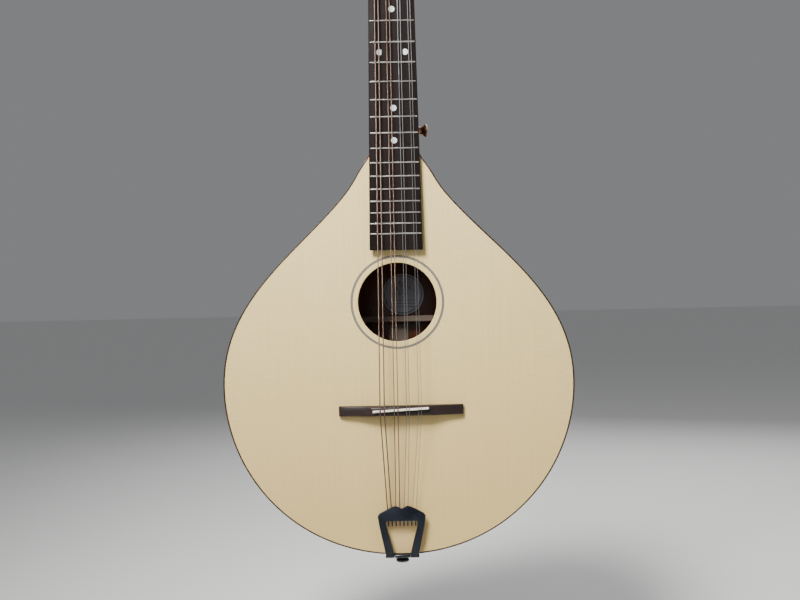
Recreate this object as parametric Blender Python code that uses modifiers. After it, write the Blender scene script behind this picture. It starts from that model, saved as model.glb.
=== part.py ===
"""Long-scale flat-top mandolin with four double courses, built as its separate pieces.

Shapes are written in millimetres and turned into metres when a mesh is made. The bench
frame has its origin on the soundboard's face, where the scale length ends: x is across
the body towards the treble side, y goes into the body, and z runs up the neck.
"""

import math

import bmesh
import bpy
from mathutils import Matrix, Vector
from mathutils.geometry import interpolate_bezier

MM = 0.001
GAP = 0.3  # clearance between pieces that touch

# Driving dimensions
SCALE_LENGTH = 660.0
YOKE_AT = 672.0  # distance from the scale's end to the hanger's yoke
YOKE_DEPTH = 14.0  # the yoke's centre lies this far behind the soundboard's face
DEPTH_TAIL = 88.0
DEPTH_NECK = 76.0
PLATE = 3.0  # soundboard and back plate
RIB = 2.3
BINDING_OUT = 1.5  # the binding stands out from the spruce by this much
BINDING_HIGH = 4.9
HOLE_AT = 99.5
HOLE_R = 38.0
ROSETTE_R = (43.1, 45.2)
NECK_ANGLE = math.radians(1.3)
HEAD_ANGLE = math.radians(14.0)
BODY_JOIN = 240.0  # where the neck meets the body
FRETBOARD = 6.0
FRETBOARD_END = 149.4
NUT_WIDTH = 36.7
FRETBOARD_WIDTH_END = 51.2
HEAD_THICK = 14.5
NUT_LENGTH = 5.0

# Strings, from bass to treble: diameter, x at the saddle, x at the nut
STRINGS = {
    "string_g_outer": (1.15, -18.5, -14.4),
    "string_g_inner": (1.15, -14.4, -11.4),
    "string_d_outer": (0.85, -5.0, -5.0),
    "string_d_inner": (0.85, -1.5, -2.2),
    "string_a_inner": (0.55, 6.8, 5.0),
    "string_a_outer": (0.55, 9.4, 7.5),
    "string_e_inner": (0.40, 18.4, 13.3),
    "string_e_outer": (0.40, 21.0, 15.6),
}
HOOK_FIRST, HOOK_PITCH = -12.9, 3.73  # x of the bass side's hook, and from hook to hook
HOOK_ROOT, HOOK_TIP = -110.4, -115.2
STRING_END, HOOK_Y = -111.0, -3.4  # where a string's straight run ends, behind its hook
NUT_BREAK = SCALE_LENGTH + 0.6  # where the strings bend down to the headstock
NUT_ACTION = 1.4  # string's underside above the fretboard's face, at the nut
SADDLE_ACTION = 5.2  # the same, carried on to the end of the scale

# Bridge and saddle
BRIDGE_X, BRIDGE_Z, BRIDGE_WIDE = 1.5, -4.6, 9.6
# One half of the bridge, from its end inwards: distance, height of the top, of the foot, chamfer
BRIDGE_STATIONS = [
    (59.8, 4.0, GAP, 0.6), (57.3, 5.6, GAP, 0.8), (50.0, 6.6, GAP, 0.8), (40.0, 8.2, GAP, 0.9),
    (29.5, 11.2, GAP, 1.0), (28.3, 12.8, GAP, 2.6), (24.0, 12.8, 2.2, 2.6),
]
SADDLE_SPAN = (-18.5, 21.0)  # x of the outermost strings
SADDLE_BASS, SADDLE_TREBLE = -4.3, -2.4  # height of the saddle's crown under them
SADDLE_X, SADDLE_HALF, SADDLE_HALF_THICK = 1.25, 26.8, 0.95
SADDLE_FLOOR = -9.4
SADDLE_SLOPE = (SADDLE_TREBLE - SADDLE_BASS) / (SADDLE_SPAN[1] - SADDLE_SPAN[0])

# Tailpiece and strap buttons
HINGE = (-5.2, -144.4)  # y and z of the tailpiece's pin
PIN_R, PIN_BORE_R, PIN_HALF, KNUCKLE_R = 0.9, 1.2, 16.5, 1.7
KNUCKLE_SPLIT, KNUCKLE_END = 7.6, 16.1  # x where the bracket's knuckle and the frame's end
FRAME_Y = (-8.6, -6.4)  # the frame's front and rear faces
SHEET_Z = (-146.0, -144.5)  # the bracket's two faces, at the tail end
END_PIN_DEPTH, END_PIN_BORE_R = 42.0, 3.4
HEEL_BUTTON = (17.0, 266.8)  # depth behind the face and height
HEEL_BUTTON_X = 24.3

# Inside of the body and neck
RIB_IN = BINDING_OUT - RIB - GAP  # the linings' outer face, from the spruce's edge
LINING_IN = RIB_IN - 5.5
LINING_HIGH = 12.0
BLOCK_END = 203.0  # the neck block's inner end
TAIL_BLOCK_END, TAIL_BLOCK_HALF = -124.0, 30.0
ROD_Y = 7.4  # the truss rod's depth under the fretboard

# Machine heads
POST_FIRST, POST_PITCH, POST_X = 35.0, 23.0, 20.0
POST_R, POST_HOLE_R, POST_STANDS = 3.0, 3.5, 14.0
TUNER_PLATE = 1.2
WORM_LIFT = 3.9  # worm's axis behind the base plate's back face
WORM_OFFSET = 8.0  # centre distance of worm and gear
GEAR_TEETH, GEAR_R_OUT, GEAR_R_ROOT, GEAR_THICK = 15, 5.8, 4.3, 2.4
WORM_PITCH, WORM_R_OUT, WORM_R_ROOT = 2.199, 3.45, 1.9
SHAFT_R = 1.45
LUG_X = 5.6
PLATE_FRONT = HEAD_THICK + GAP
PLATE_BACK = PLATE_FRONT + TUNER_PLATE
WORM_Y = PLATE_BACK + WORM_LIFT

for old in list(bpy.data.objects):
    bpy.data.objects.remove(old, do_unlink=True)

parts = bpy.data.collections.new("long_scale_mandolin")
tools = bpy.data.collections.new("cutters")
bpy.context.scene.collection.children.link(parts)
bpy.context.scene.collection.children.link(tools)


# ---------------------------------------------------------------- materials


def material(name, colour, roughness, metallic=0.0):
    made = bpy.data.materials.new(name)
    made.use_nodes = True
    shader = made.node_tree.nodes["Principled BSDF"]
    shader.inputs["Base Color"].default_value = (*colour, 1.0)
    shader.inputs["Roughness"].default_value = roughness
    shader.inputs["Metallic"].default_value = metallic
    made.diffuse_color = (*colour, 1.0)
    return made


SPRUCE = material("spruce", (0.68, 0.57, 0.40), 0.42)
BODY_WOOD = material("body_wood", (0.13, 0.045, 0.022), 0.3)
INNER_WOOD = material("inner_wood", (0.45, 0.31, 0.17), 0.6)
NECK_WOOD = material("neck_wood", (0.16, 0.06, 0.03), 0.4)
ROSEWOOD = material("rosewood", (0.022, 0.015, 0.015), 0.45)
BINDING = material("binding", (0.03, 0.015, 0.012), 0.35)
BONE = material("bone", (0.85, 0.80, 0.68), 0.35)
ROSETTE = material("rosette", (0.25, 0.25, 0.24), 0.5)
BLACK_METAL = material("black_metal", (0.015, 0.016, 0.02), 0.35, 0.6)
NICKEL = material("nickel", (0.72, 0.70, 0.66), 0.25, 1.0)
STEEL = material("steel", (0.55, 0.56, 0.58), 0.3, 1.0)
BRONZE = material("bronze", (0.55, 0.27, 0.14), 0.35, 1.0)
BUTTON_METAL = material("button_metal", (0.35, 0.18, 0.10), 0.35, 1.0)
BUTTON_PLASTIC = material("button_plastic", (0.80, 0.74, 0.60), 0.3)


# ---------------------------------------------------------------- frames


def empty(name, parent, location, turn_x=0.0):
    """A frame to build in: placed in its parent in millimetres, and tilted back."""
    made = bpy.data.objects.new(name, None)
    parts.objects.link(made)
    made.parent = parent
    made.location = Vector(location) * MM
    made.rotation_euler.x = -turn_x
    return made


bench = empty("bench_frame", None, (0, -YOKE_DEPTH, -YOKE_AT))
neck_frame = empty("neck_frame", bench, (0, -GAP, BODY_JOIN), NECK_ANGLE)
NUT_AT = SCALE_LENGTH - BODY_JOIN  # along the neck frame
HEAD_AT = NUT_AT + NUT_LENGTH
head_frame = empty("head_frame", neck_frame, (0, 0, HEAD_AT), HEAD_ANGLE)


def tilt(angle):
    return Matrix.Rotation(-angle, 4, "X")


NECK_TO_BENCH = Matrix.Translation((0, -GAP, BODY_JOIN)) @ tilt(NECK_ANGLE)
HEAD_TO_BENCH = NECK_TO_BENCH @ Matrix.Translation((0, 0, HEAD_AT)) @ tilt(HEAD_ANGLE)
BENCH_TO_NECK = NECK_TO_BENCH.inverted()


# ---------------------------------------------------------------- shape helpers


def place(name, mesh, finish, frame, collection=None):
    made = bpy.data.objects.new(name, mesh)
    (collection or parts).objects.link(made)
    made.parent = frame
    if finish and not mesh.materials:
        mesh.materials.append(finish)
    return made


def mesh_from(bm, name, smooth=None):
    bmesh.ops.recalc_face_normals(bm, faces=bm.faces)
    mesh = bpy.data.meshes.new(name)
    bm.to_mesh(mesh)
    bm.free()
    if smooth:
        mesh.shade_smooth()
        mesh.set_sharp_from_angle(angle=math.radians(smooth))
    return mesh


def prism(name, outline, low, high, finish, frame, along="y"):
    """A closed plate: a flat outline pushed from low to high along one axis."""
    order = {"y": (0, 2, 1), "z": (0, 1, 2), "x": (2, 0, 1)}[along]
    bm = bmesh.new()
    ring = []
    for a, b in outline:
        spot = (a, b, low)
        ring.append(bm.verts.new(Vector([spot[i] for i in order]) * MM))
    face = bm.faces.new(ring)
    pushed = bmesh.ops.extrude_face_region(bm, geom=[face])["geom"]
    step = Vector([(0, 0, high - low)[i] for i in order]) * MM
    moved = [item for item in pushed if isinstance(item, bmesh.types.BMVert)]
    bmesh.ops.translate(bm, verts=moved, vec=step)
    return place(name, mesh_from(bm, name), finish, frame)


def box(name, low, high, finish, frame):
    bm = bmesh.new()
    bmesh.ops.create_cube(bm, size=1.0)
    low, high = Vector(low) * MM, Vector(high) * MM
    size = high - low
    bmesh.ops.scale(bm, vec=size, verts=bm.verts)
    bmesh.ops.translate(bm, vec=(low + high) / 2, verts=bm.verts)
    return place(name, mesh_from(bm, name), finish, frame)


def loft(name, sections, finish, frame, smooth=40):
    """Skins a row of sections that have the same number of points, and closes its ends."""
    bm = bmesh.new()
    rings = [[bm.verts.new(Vector(p) * MM) for p in section] for section in sections]
    count = len(rings[0])
    for first, second in zip(rings, rings[1:]):
        for i in range(count):
            j = (i + 1) % count
            bm.faces.new((first[i], first[j], second[j], second[i]))
    bm.faces.new(rings[0])
    bm.faces.new(rings[-1])
    return place(name, mesh_from(bm, name, smooth), finish, frame)


def turned(name, profile, steps, finish, frame, turn=(0, 0, 0), at=(0, 0, 0)):
    """A profile of (radius, height) points, top to bottom, turned about its own z axis."""
    bm = bmesh.new()
    line = [bm.verts.new(Vector((r, 0, z)) * MM) for r, z in profile]
    for first, second in zip(line, line[1:]):
        bm.edges.new((first, second))
    mesh = bpy.data.meshes.new(name)
    bm.to_mesh(mesh)
    bm.free()
    made = place(name, mesh, finish, frame)
    screw = made.modifiers.new("turn", "SCREW")
    screw.steps = steps
    screw.render_steps = steps
    screw.use_merge_vertices = True
    screw.merge_threshold = 0.00001
    made.rotation_euler = turn
    made.location = Vector(at) * MM
    return made


def rod(name, start, end, radius, steps, finish, frame):
    """A round bar between two points."""
    start, end = Vector(start), Vector(end)
    bm = bmesh.new()
    bmesh.ops.create_cone(
        bm, cap_ends=True, segments=steps, radius1=radius * MM, radius2=radius * MM,
        depth=(end - start).length * MM,
    )
    turn = (end - start).to_track_quat("Z", "Y").to_matrix().to_4x4()
    bmesh.ops.transform(
        bm, matrix=Matrix.Translation((start + end) / 2 * MM) @ turn, verts=bm.verts
    )
    return place(name, mesh_from(bm, name, 40), finish, frame)


def wire(name, points, diameter, finish, frame):
    """A round wire through points, as a curve with a bevel."""
    curve = bpy.data.curves.new(name, "CURVE")
    curve.dimensions = "3D"
    curve.bevel_depth = diameter / 2 * MM
    curve.bevel_resolution = 2
    curve.use_fill_caps = True
    spline = curve.splines.new("POLY")
    spline.points.add(len(points) - 1)
    for point, spot in zip(spline.points, points):
        point.co = (*(Vector(spot) * MM), 1.0)
    return place(name, curve, finish, frame)


def bevel(target, width, segments=1, angle=30.0):
    made = target.modifiers.new("round", "BEVEL")
    made.width = width * MM
    made.segments = segments
    made.limit_method = "ANGLE"
    made.angle_limit = math.radians(angle)


def boolean(target, other, operation):
    """Cuts or joins with a helper object, which then leaves the model."""
    made = target.modifiers.new(operation.lower(), "BOOLEAN")
    made.operation = operation
    made.object = other
    if other.name in parts.objects:
        parts.objects.unlink(other)
        tools.objects.link(other)
    other.hide_render = True
    other.display_type = "WIRE"
    return target


def cut(target, *others):
    for other in others:
        boolean(target, other, "DIFFERENCE")
    return target


def join(target, *others):
    for other in others:
        boolean(target, other, "UNION")
    return target


def baked(template):
    """The template's evaluated mesh, for copies to share. The template becomes a helper."""
    bpy.context.view_layer.update()
    graph = bpy.context.evaluated_depsgraph_get()
    mesh = bpy.data.meshes.new_from_object(template.evaluated_get(graph))
    mesh.name = template.name
    parts.objects.unlink(template)
    tools.objects.link(template)
    template.hide_render = True
    return mesh


# ---------------------------------------------------------------- body outline


def bezier(start, leave, arrive, end, count):
    """Points of a Bezier arc, leaving out its last one."""
    flat = [Vector((*p, 0)) for p in (start, leave, arrive, end)]
    return [p.xy for p in interpolate_bezier(*flat, count + 1)][:-1]


def half_outline():
    """The spruce's edge on the treble side, from the tail's centre to the neck's centre."""
    widest, flank, shoulder = (168.0, 21.0), (92.8, 157.1), (26.0, 237.0)
    slope = Vector((-math.cos(math.radians(44.1)), math.sin(math.radians(44.1))))
    flank_in = Vector(flank) - slope * 58.5
    flank_out = Vector(flank) + slope * 86.0
    points = bezier((0, -142.7), (100, -142.7), (168, -66), widest, 16)
    points += bezier(widest, (168, 78), flank_in, flank, 8)
    points += bezier(flank, flank_out, (45.3, 211.3), shoulder, 7)
    return points + [Vector(shoulder), Vector((24.0, 241.0)), Vector((0, 241.0))]


HALF = half_outline()
SHOULDER = len(HALF) - 3  # index of the point where the fretboard meets the edge


def shifted(path, distance):
    """The path moved out by a distance, its corners mitred. Both ends lie on x = 0."""
    moved = []
    for i, point in enumerate(path):
        before = path[i - 1] if i else Vector((-path[1].x, path[1].y))
        after = path[i + 1] if i + 1 < len(path) else Vector((-path[-2].x, path[-2].y))
        first, second = (point - before).normalized(), (after - point).normalized()
        normal_in, normal_out = Vector((first.y, -first.x)), Vector((second.y, -second.x))
        middle = (normal_in + normal_out).normalized()
        moved.append(point + middle * distance / max(middle.dot(normal_in), 0.5))
    return moved


def whole(path):
    """Half a path and its mirror image, as one closed outline."""
    return path + [Vector((-p.x, p.y)) for p in path[-2:0:-1]]


def depth(z):
    """How far the back plate's outer face lies behind the soundboard's face."""
    along = (z + 142.7) / (241.0 + 142.7)
    return DEPTH_TAIL + (DEPTH_NECK - DEPTH_TAIL) * along


def plate(name, outline, front, back, finish):
    """A plate inside the outline. front and back give its two faces' y at a height z."""
    sections = []
    for face in (front, back):
        sections.append([(p.x, face(p.y), p.y) for p in outline])
    return loft(name, sections, finish, bench, smooth=None)


def edge_strip(name, first, last, faces, inner, outer, finish, side):
    """One side's strip, from one outline point to another, as its own piece."""
    near, far = shifted(HALF, inner), shifted(HALF, outer)
    front, back = faces
    sections = []
    for a, b in list(zip(near, far))[first:last + 1]:
        corners = ((b, front), (b, back), (a, back), (a, front))
        sections.append([(side * max(p.x, GAP / 2), face(p.y), p.y) for p, face in corners])
    return loft(name, sections, finish, bench)


def edge_ring(name, faces, inner, outer, finish):
    """A strip round the whole edge, open only at the neck."""
    near, far = shifted(HALF, inner), shifted(HALF, outer)
    front, back = faces
    half = list(zip(near, far))[:SHOULDER + 1]
    both = [(Vector((-a.x, a.y)), Vector((-b.x, b.y))) for a, b in half[:0:-1]] + half
    sections = []
    for a, b in both:
        corners = ((b, front), (b, back), (a, back), (a, front))
        sections.append([(p.x, face(p.y), p.y) for p, face in corners])
    return loft(name, sections, finish, bench)


def level(y):
    return lambda z: y


def from_back(y):
    return lambda z: depth(z) - y


def half_width(z, offset=0.0):
    """Half the body's width at a height, at a distance from the spruce's edge."""
    path = shifted(HALF, offset)
    for a, b in zip(path, path[1:]):
        if min(a.y, b.y) <= z <= max(a.y, b.y) and a.y != b.y:
            return a.x + (b.x - a.x) * (z - a.y) / (b.y - a.y)
    return 0.0


# ---------------------------------------------------------------- body


def make_plates():
    spruce = plate("soundboard", whole(HALF), level(0), level(PLATE), SPRUCE)
    hole = rod("soundhole_cut", (0, -5, HOLE_AT), (0, 9, HOLE_AT), HOLE_R, 40, None, bench)
    inner, outer = ROSETTE_R
    groove = ring("rosette_groove", inner - 0.25, outer + 0.25, -2.0, 1.5, None)
    cut(spruce, hole, groove)
    ring("rosette", inner, outer, 0.0, 1.2, ROSETTE)
    plate("back_plate", whole(HALF), from_back(PLATE), from_back(0), BODY_WOOD)


def ring(name, inner, outer, front, back, finish):
    """A flat ring round the soundhole's centre."""
    profile = [(outer, -front), (outer, -back), (inner, -back), (inner, -front), (outer, -front)]
    return turned(name, profile, 40, finish, bench, (math.radians(90), 0, 0), (0, 0, HOLE_AT))


def make_sides():
    under, over = level(BINDING_HIGH + GAP), from_back(BINDING_HIGH + GAP)
    inner = BINDING_OUT - RIB
    for name, side in (("rib_bass", -1), ("rib_treble", 1)):
        made = edge_strip(
            name, 0, len(HALF) - 1, (under, over), inner, BINDING_OUT, BODY_WOOD, side
        )
        cut(made, end_pin_hole())
    top = (level(0), level(BINDING_HIGH))
    back = (from_back(BINDING_HIGH), from_back(0))
    edge_ring("top_binding", top, GAP, BINDING_OUT, BINDING)
    edge_ring("back_binding", back, GAP, BINDING_OUT, BINDING)


def end_pin_hole():
    """The end pin's bore through the bracket, the ribs' seam and the tail block."""
    start, end = (0, END_PIN_DEPTH, -160), (0, END_PIN_DEPTH, -126)
    return rod("end_pin_cut", start, end, END_PIN_BORE_R, 16, None, bench)


def make_linings():
    """Four strips of lining, from the tail block to the neck block, in the ribs' corners."""
    first = next(i for i, p in enumerate(HALF) if p.x > 36)
    last = max(i for i, p in enumerate(HALF[:SHOULDER]) if p.y < 198)
    seat = PLATE + GAP
    top = (level(seat), level(seat + LINING_HIGH))
    back = (from_back(seat + LINING_HIGH), from_back(seat))
    for place_name, faces in (("top", top), ("back", back)):
        for side_name, side in (("bass", -1), ("treble", 1)):
            name = f"{place_name}_lining_{side_name}"
            edge_strip(name, first, last, faces, LINING_IN, RIB_IN, INNER_WOOD, side)


def make_blocks():
    """The neck block and the tail block, both from plate to plate."""
    edge = shifted(HALF, RIB_IN)
    upper = [p for p in edge[:SHOULDER + 1] if p.y > BLOCK_END]
    upper = [Vector((half_width(BLOCK_END, RIB_IN), BLOCK_END))] + upper + [Vector((22.0, 238.8))]
    outline = upper + [Vector((-p.x, p.y)) for p in upper[::-1]]
    faces = (level(PLATE + GAP), from_back(PLATE + GAP))
    plate("neck_block", outline, *faces, INNER_WOOD)
    lower = [p for p in edge if p.x < TAIL_BLOCK_HALF and p.y < 0]
    corner = Vector((lower[-1].x, TAIL_BLOCK_END))
    outline = [Vector((-p.x, p.y)) for p in [corner] + lower[::-1]] + lower[1:] + [corner]
    tail = plate("tail_block", outline, *faces, INNER_WOOD)
    cut(tail, end_pin_hole())


def brace(name, z, half, width, height, seat, inward):
    """A bar across the body, its ends scooped thin. inward is its way into the body."""
    run = min(32.0, half * 0.4)
    tall = [(-half, 2.5), (-half + run, height), (half - run, height), (half, 2.5)]
    outline = [(half, 0), (-half, 0)] + tall
    outline = [(x, seat + inward * y) for x, y in outline]
    made = prism(name, outline, z - width / 2, z + width / 2, INNER_WOOD, bench, "z")
    bevel(made, 1.0)
    return made


def brace_half(z):
    """Half the length of a brace that ends just inside the linings."""
    return min(half_width(z - 5, LINING_IN), half_width(z + 5, LINING_IN)) - 1.5


def make_braces():
    seat = PLATE + GAP
    for name, z in (("top_brace_upper", 162.0), ("top_brace_lower", 50.0)):
        brace(name, z, brace_half(z), 8.0, 14.0, seat, 1)
    for name, z in (("back_brace_upper", 172.0), ("back_brace_middle", 82.0),
                    ("back_brace_lower", -45.0)):
        brace(name, z, brace_half(z), 6.4, 13.0, depth(z) - seat - 0.2, -1)
    for name, side in (("tone_bar_bass", -1), ("tone_bar_treble", 1)):
        bar = brace(name, -36.0, 78.0, 7.0, 11.0, seat, 1)
        turn_bar(bar, side)


def turn_bar(bar, side):
    """Lays a cross bar lengthwise beside the centre line, a little splayed."""
    centre = Vector((0, 0, -36.0)) * MM
    turn = Matrix.Rotation(math.radians(90 + side * 6), 4, "Y")
    move = Matrix.Translation(Vector((side * 42.0, 0, 0)) * MM)
    bar.data.transform(move @ Matrix.Translation(centre) @ turn @ Matrix.Translation(-centre))


def make_seam_strip():
    """The strip that covers the back's seam between two braces."""
    low, high = -41.0, 78.0
    seat = PLATE + GAP
    faces = (from_back(seat + 2.2), from_back(seat))
    outline = [Vector((x, z)) for x, z in ((-9.2, low), (9.2, low), (9.2, high), (-9.2, high))]
    plate("back_seam_strip", outline, *faces, INNER_WOOD)


# ---------------------------------------------------------------- neck


def fretboard_width(s):
    """Width at a distance s along the neck frame from the body's edge."""
    along = (s + BODY_JOIN - FRETBOARD_END) / (SCALE_LENGTH - FRETBOARD_END)
    return FRETBOARD_WIDTH_END + (NUT_WIDTH - FRETBOARD_WIDTH_END) * along


def neck_depth(s):
    """Thickness of the neck's wood under the fretboard, with the heel's sweep."""
    shaft = 17.8 - 2.8 * min(s, NUT_AT) / NUT_AT
    rise = max(0.0, 1.0 - (s - 2.8) / 62.0)
    return shaft + (DEPTH_NECK - 1.5 - shaft) * rise ** 2.4


def neck_section(s, width, thick, power, lean):
    """A D-shaped section, flat on the fretboard's side. lean shears its foot along the neck."""
    points = []
    count = 12
    for i in range(count + 1):
        angle = math.pi * i / count
        across = math.copysign(abs(math.cos(angle)) ** (2 / power), math.cos(angle))
        down = math.sin(angle) ** (2 / power)
        y = GAP + 2.2 + (thick - 2.2) * down
        points.append((width / 2 * across, y, s + lean * y))
    flat = [(-width / 2, GAP, s + lean * GAP), (width / 2, GAP, s + lean * GAP)]
    return points + flat


def make_neck():
    stations = [2.8, 8, 14, 20, 27, 34, 42, 52, 66, 130, 230, 330, 400]
    sections = []
    for s in stations:
        heel = max(0.0, 1.0 - (s - 2.8) / 60.0)
        lean = math.tan(NECK_ANGLE) * heel
        sections.append(neck_section(s, fretboard_width(s), neck_depth(s), 2.2 + 0.8 * heel, lean))
    sections.append(neck_section(HEAD_AT, NUT_WIDTH, 15.6, 2.2, 0.85))
    neck = loft("neck", sections, NECK_WOOD, neck_frame, 50)
    head = make_headstock()
    channel = box("rod_channel", (-3.4, -2, 16), (3.4, 10.6, HEAD_AT + 2), None, neck_frame)
    pocket = box("rod_pocket", (-5.6, -4, HEAD_AT + 1), (5.6, 12.4, HEAD_AT + 17), None, neck_frame)
    join(neck, head)
    cut(neck, channel, pocket, post_holes("head_post_holes", -3, HEAD_THICK + 4))
    cut(neck, heel_pin_hole())
    return neck


def make_headstock():
    half = bezier((18.3, 0.4), (19.5, 12), (27.0, 16), (30.5, 27), 7)
    half += bezier((30.5, 27), (33, 36), (31.5, 100), (34.5, 128), 8)
    half += bezier((34.5, 128), (31, 136), (14, 137), (0, 148), 6)
    outline = [(p.x, p.y) for p in half] + [(0, 148)] + [(-p.x, p.y) for p in half[::-1]]
    head = prism("headstock", outline, 0.0, HEAD_THICK, NECK_WOOD, head_frame)
    bevel(head, 1.2, 1, 50)
    return head


def post_places():
    """Post centres in the head frame, from the nut upwards, for both sides."""
    return [
        (side, k, (side * POST_X, POST_FIRST + POST_PITCH * k))
        for side in (-1, 1) for k in range(4)
    ]


def post_holes(name, front, back):
    """Eight bores as one cutter."""
    bm = bmesh.new()
    for _side, _k, (x, z) in post_places():
        turn = Matrix.Rotation(math.radians(90), 4, "X")
        centre = Vector((x, (front + back) / 2, z)) * MM
        bmesh.ops.create_cone(
            bm, cap_ends=True, segments=12, radius1=POST_HOLE_R * MM,
            radius2=POST_HOLE_R * MM, depth=(back - front) * MM,
            matrix=Matrix.Translation(centre) @ turn,
        )
    return place(name, mesh_from(bm, name), None, head_frame)


def make_fretboard():
    """The fretboard, with a flat foot where it lies on the soundboard."""
    sections = []
    lift = math.tan(NECK_ANGLE)  # what the flat foot loses for each millimetre of length
    for s in (FRETBOARD_END - BODY_JOIN, 0.0, NUT_AT - 0.1):
        w = fretboard_width(s) / 2
        foot = min(0.0, lift * s)
        section = [(-w, foot, s), (w, foot, s), (w, -FRETBOARD + 0.4, s)]
        section += [(w * k, -FRETBOARD + 0.35 * k * k, s) for k in (0.75, 0.4, 0, -0.4, -0.75)]
        section += [(-w, -FRETBOARD + 0.4, s)]
        sections.append(section)
    return loft("fretboard", sections, ROSEWOOD, neck_frame, 25)


def heel_pin_hole():
    y, z = HEEL_BUTTON
    return rod("heel_pin_cut", (10, y, z), (40, y, z), 2.2, 12, None, bench)


def make_nut_and_rod():
    """The bone nut, and the truss rod with its hexagon nut in the headstock's pocket."""
    low = (-NUT_WIDTH / 2, -(FRETBOARD + NUT_ACTION + 0.7), NUT_AT + GAP)
    high = (NUT_WIDTH / 2, 0, HEAD_AT - GAP / 2)
    nut = box("nut", low, high, BONE, neck_frame)
    bevel(nut, 0.6)
    cut(nut, nut_notches())
    rod_end = HEAD_AT + 1.5
    rod("truss_rod", (0, ROD_Y, 20), (0, ROD_Y, rod_end), 2.7, 12, STEEL, neck_frame)
    start, end = (0, ROD_Y, rod_end + GAP), (0, ROD_Y, HEAD_AT + 11)
    hexagon = rod("truss_rod_nut", start, end, 3.9, 6, NICKEL, neck_frame)
    start, end = (0, ROD_Y, HEAD_AT + 5), (0, ROD_Y, HEAD_AT + 14)
    cut(hexagon, rod("socket_cut", start, end, 2.0, 6, None, neck_frame))
    make_rod_cover()


def make_rod_cover():
    half = [(8.5, 2.0), (11.5, 7.0), (11.0, 17.0), (6.5, 27.0), (4.6, 34.0), (0, 38.5)]
    outline = half + [(-x, z) for x, z in half[-2::-1]]
    cover = prism("truss_rod_cover", outline, -2.3, -GAP, ROSEWOOD, head_frame)
    bevel(cover, 0.5, 1, 50)


# ---------------------------------------------------------------- strings' path


def string_height(z):
    """y in the bench frame of the strings' underside, between the nut and the saddle."""
    face_y = -(GAP + FRETBOARD)
    fretboard_y = face_y + math.tan(NECK_ANGLE) * (z - BODY_JOIN)
    return fretboard_y - (SADDLE_ACTION + (NUT_ACTION - SADDLE_ACTION) * z / SCALE_LENGTH)


def saddle_height(x):
    """z of the slanted saddle's middle line at x."""
    return SADDLE_BASS + SADDLE_SLOPE * (x - SADDLE_SPAN[0])


def string_points(index):
    """A string's middle line, from its hook on the tailpiece to its post."""
    diameter, x_saddle, x_nut = list(STRINGS.values())[index]
    radius = diameter / 2
    hook = Vector((HOOK_FIRST + HOOK_PITCH * index, HOOK_Y, STRING_END))
    z = saddle_height(x_saddle)
    saddle = Vector((x_saddle, string_height(z) - radius, z))
    nut = Vector((x_nut, string_height(NUT_BREAK) - radius, NUT_BREAK))
    post = post_tangent(index, radius)
    return [hook, saddle - Vector((0, -0.2, 1.5)), saddle, nut, post]


def post_tangent(index, radius):
    """Where the string meets its post, in the bench frame: outer strings use lower posts."""
    side = -1 if index < 4 else 1
    rank = index if index < 4 else 7 - index
    x = side * (POST_X - 2.3 - radius - GAP)
    return HEAD_TO_BENCH @ Vector((x, -7.5, POST_FIRST + POST_PITCH * rank))


def notch_cutter(name, spots, reach, lean, frame):
    """Slots for the strings: (x, y of the floor, z, width, yaw) each, open to the front.

    reach gives how far each slot runs down and up from its z, and lean tips its floor.
    """
    bm = bmesh.new()
    low, high = reach
    for x, floor, z, width, yaw in spots:
        turn = Matrix.Rotation(yaw, 4, "Y") @ Matrix.Rotation(-lean, 4, "X")
        made = bmesh.ops.create_cube(bm, size=1.0)["verts"]
        bmesh.ops.scale(bm, vec=Vector((width, 6.0, high - low)) * MM, verts=made)
        bmesh.ops.translate(bm, vec=Vector((0, -3.0, (low + high) / 2)) * MM, verts=made)
        bmesh.ops.transform(bm, matrix=turn, verts=made)
        bmesh.ops.translate(bm, vec=Vector((x, floor, z)) * MM, verts=made)
    return place(name, mesh_from(bm, name), None, frame)


def nut_notches():
    spots = []
    for index, (diameter, _x_saddle, x_nut) in enumerate(STRINGS.values()):
        floor = BENCH_TO_NECK @ Vector((x_nut, string_height(NUT_BREAK), NUT_BREAK))
        leave = post_tangent(index, diameter / 2)
        yaw = math.atan2(leave.x - x_nut, leave.z - NUT_BREAK)
        spots.append((x_nut, floor.y + 0.25, floor.z, diameter + 0.6, yaw))
    return notch_cutter("nut_notches", spots, (-2, 9), math.radians(15.5), neck_frame)


def make_strings():
    for index, (name, (diameter, _x, _nut)) in enumerate(STRINGS.items()):
        finish = BRONZE if index < 4 else STEEL
        wire(name, string_points(index), diameter, finish, bench)


# ---------------------------------------------------------------- bridge


def bridge_section(x, top, foot, chamfer):
    """A cross section at x, its two long top edges taken off in two facets."""
    half, soft = BRIDGE_WIDE / 2, chamfer * 0.3
    outline = [(half, foot), (half, top - chamfer), (half - soft, top - soft), (half - chamfer, top)]
    outline += [(-z, y) for z, y in outline[::-1]]
    return [(BRIDGE_X + x, -y, BRIDGE_Z + z) for z, y in outline]


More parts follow.
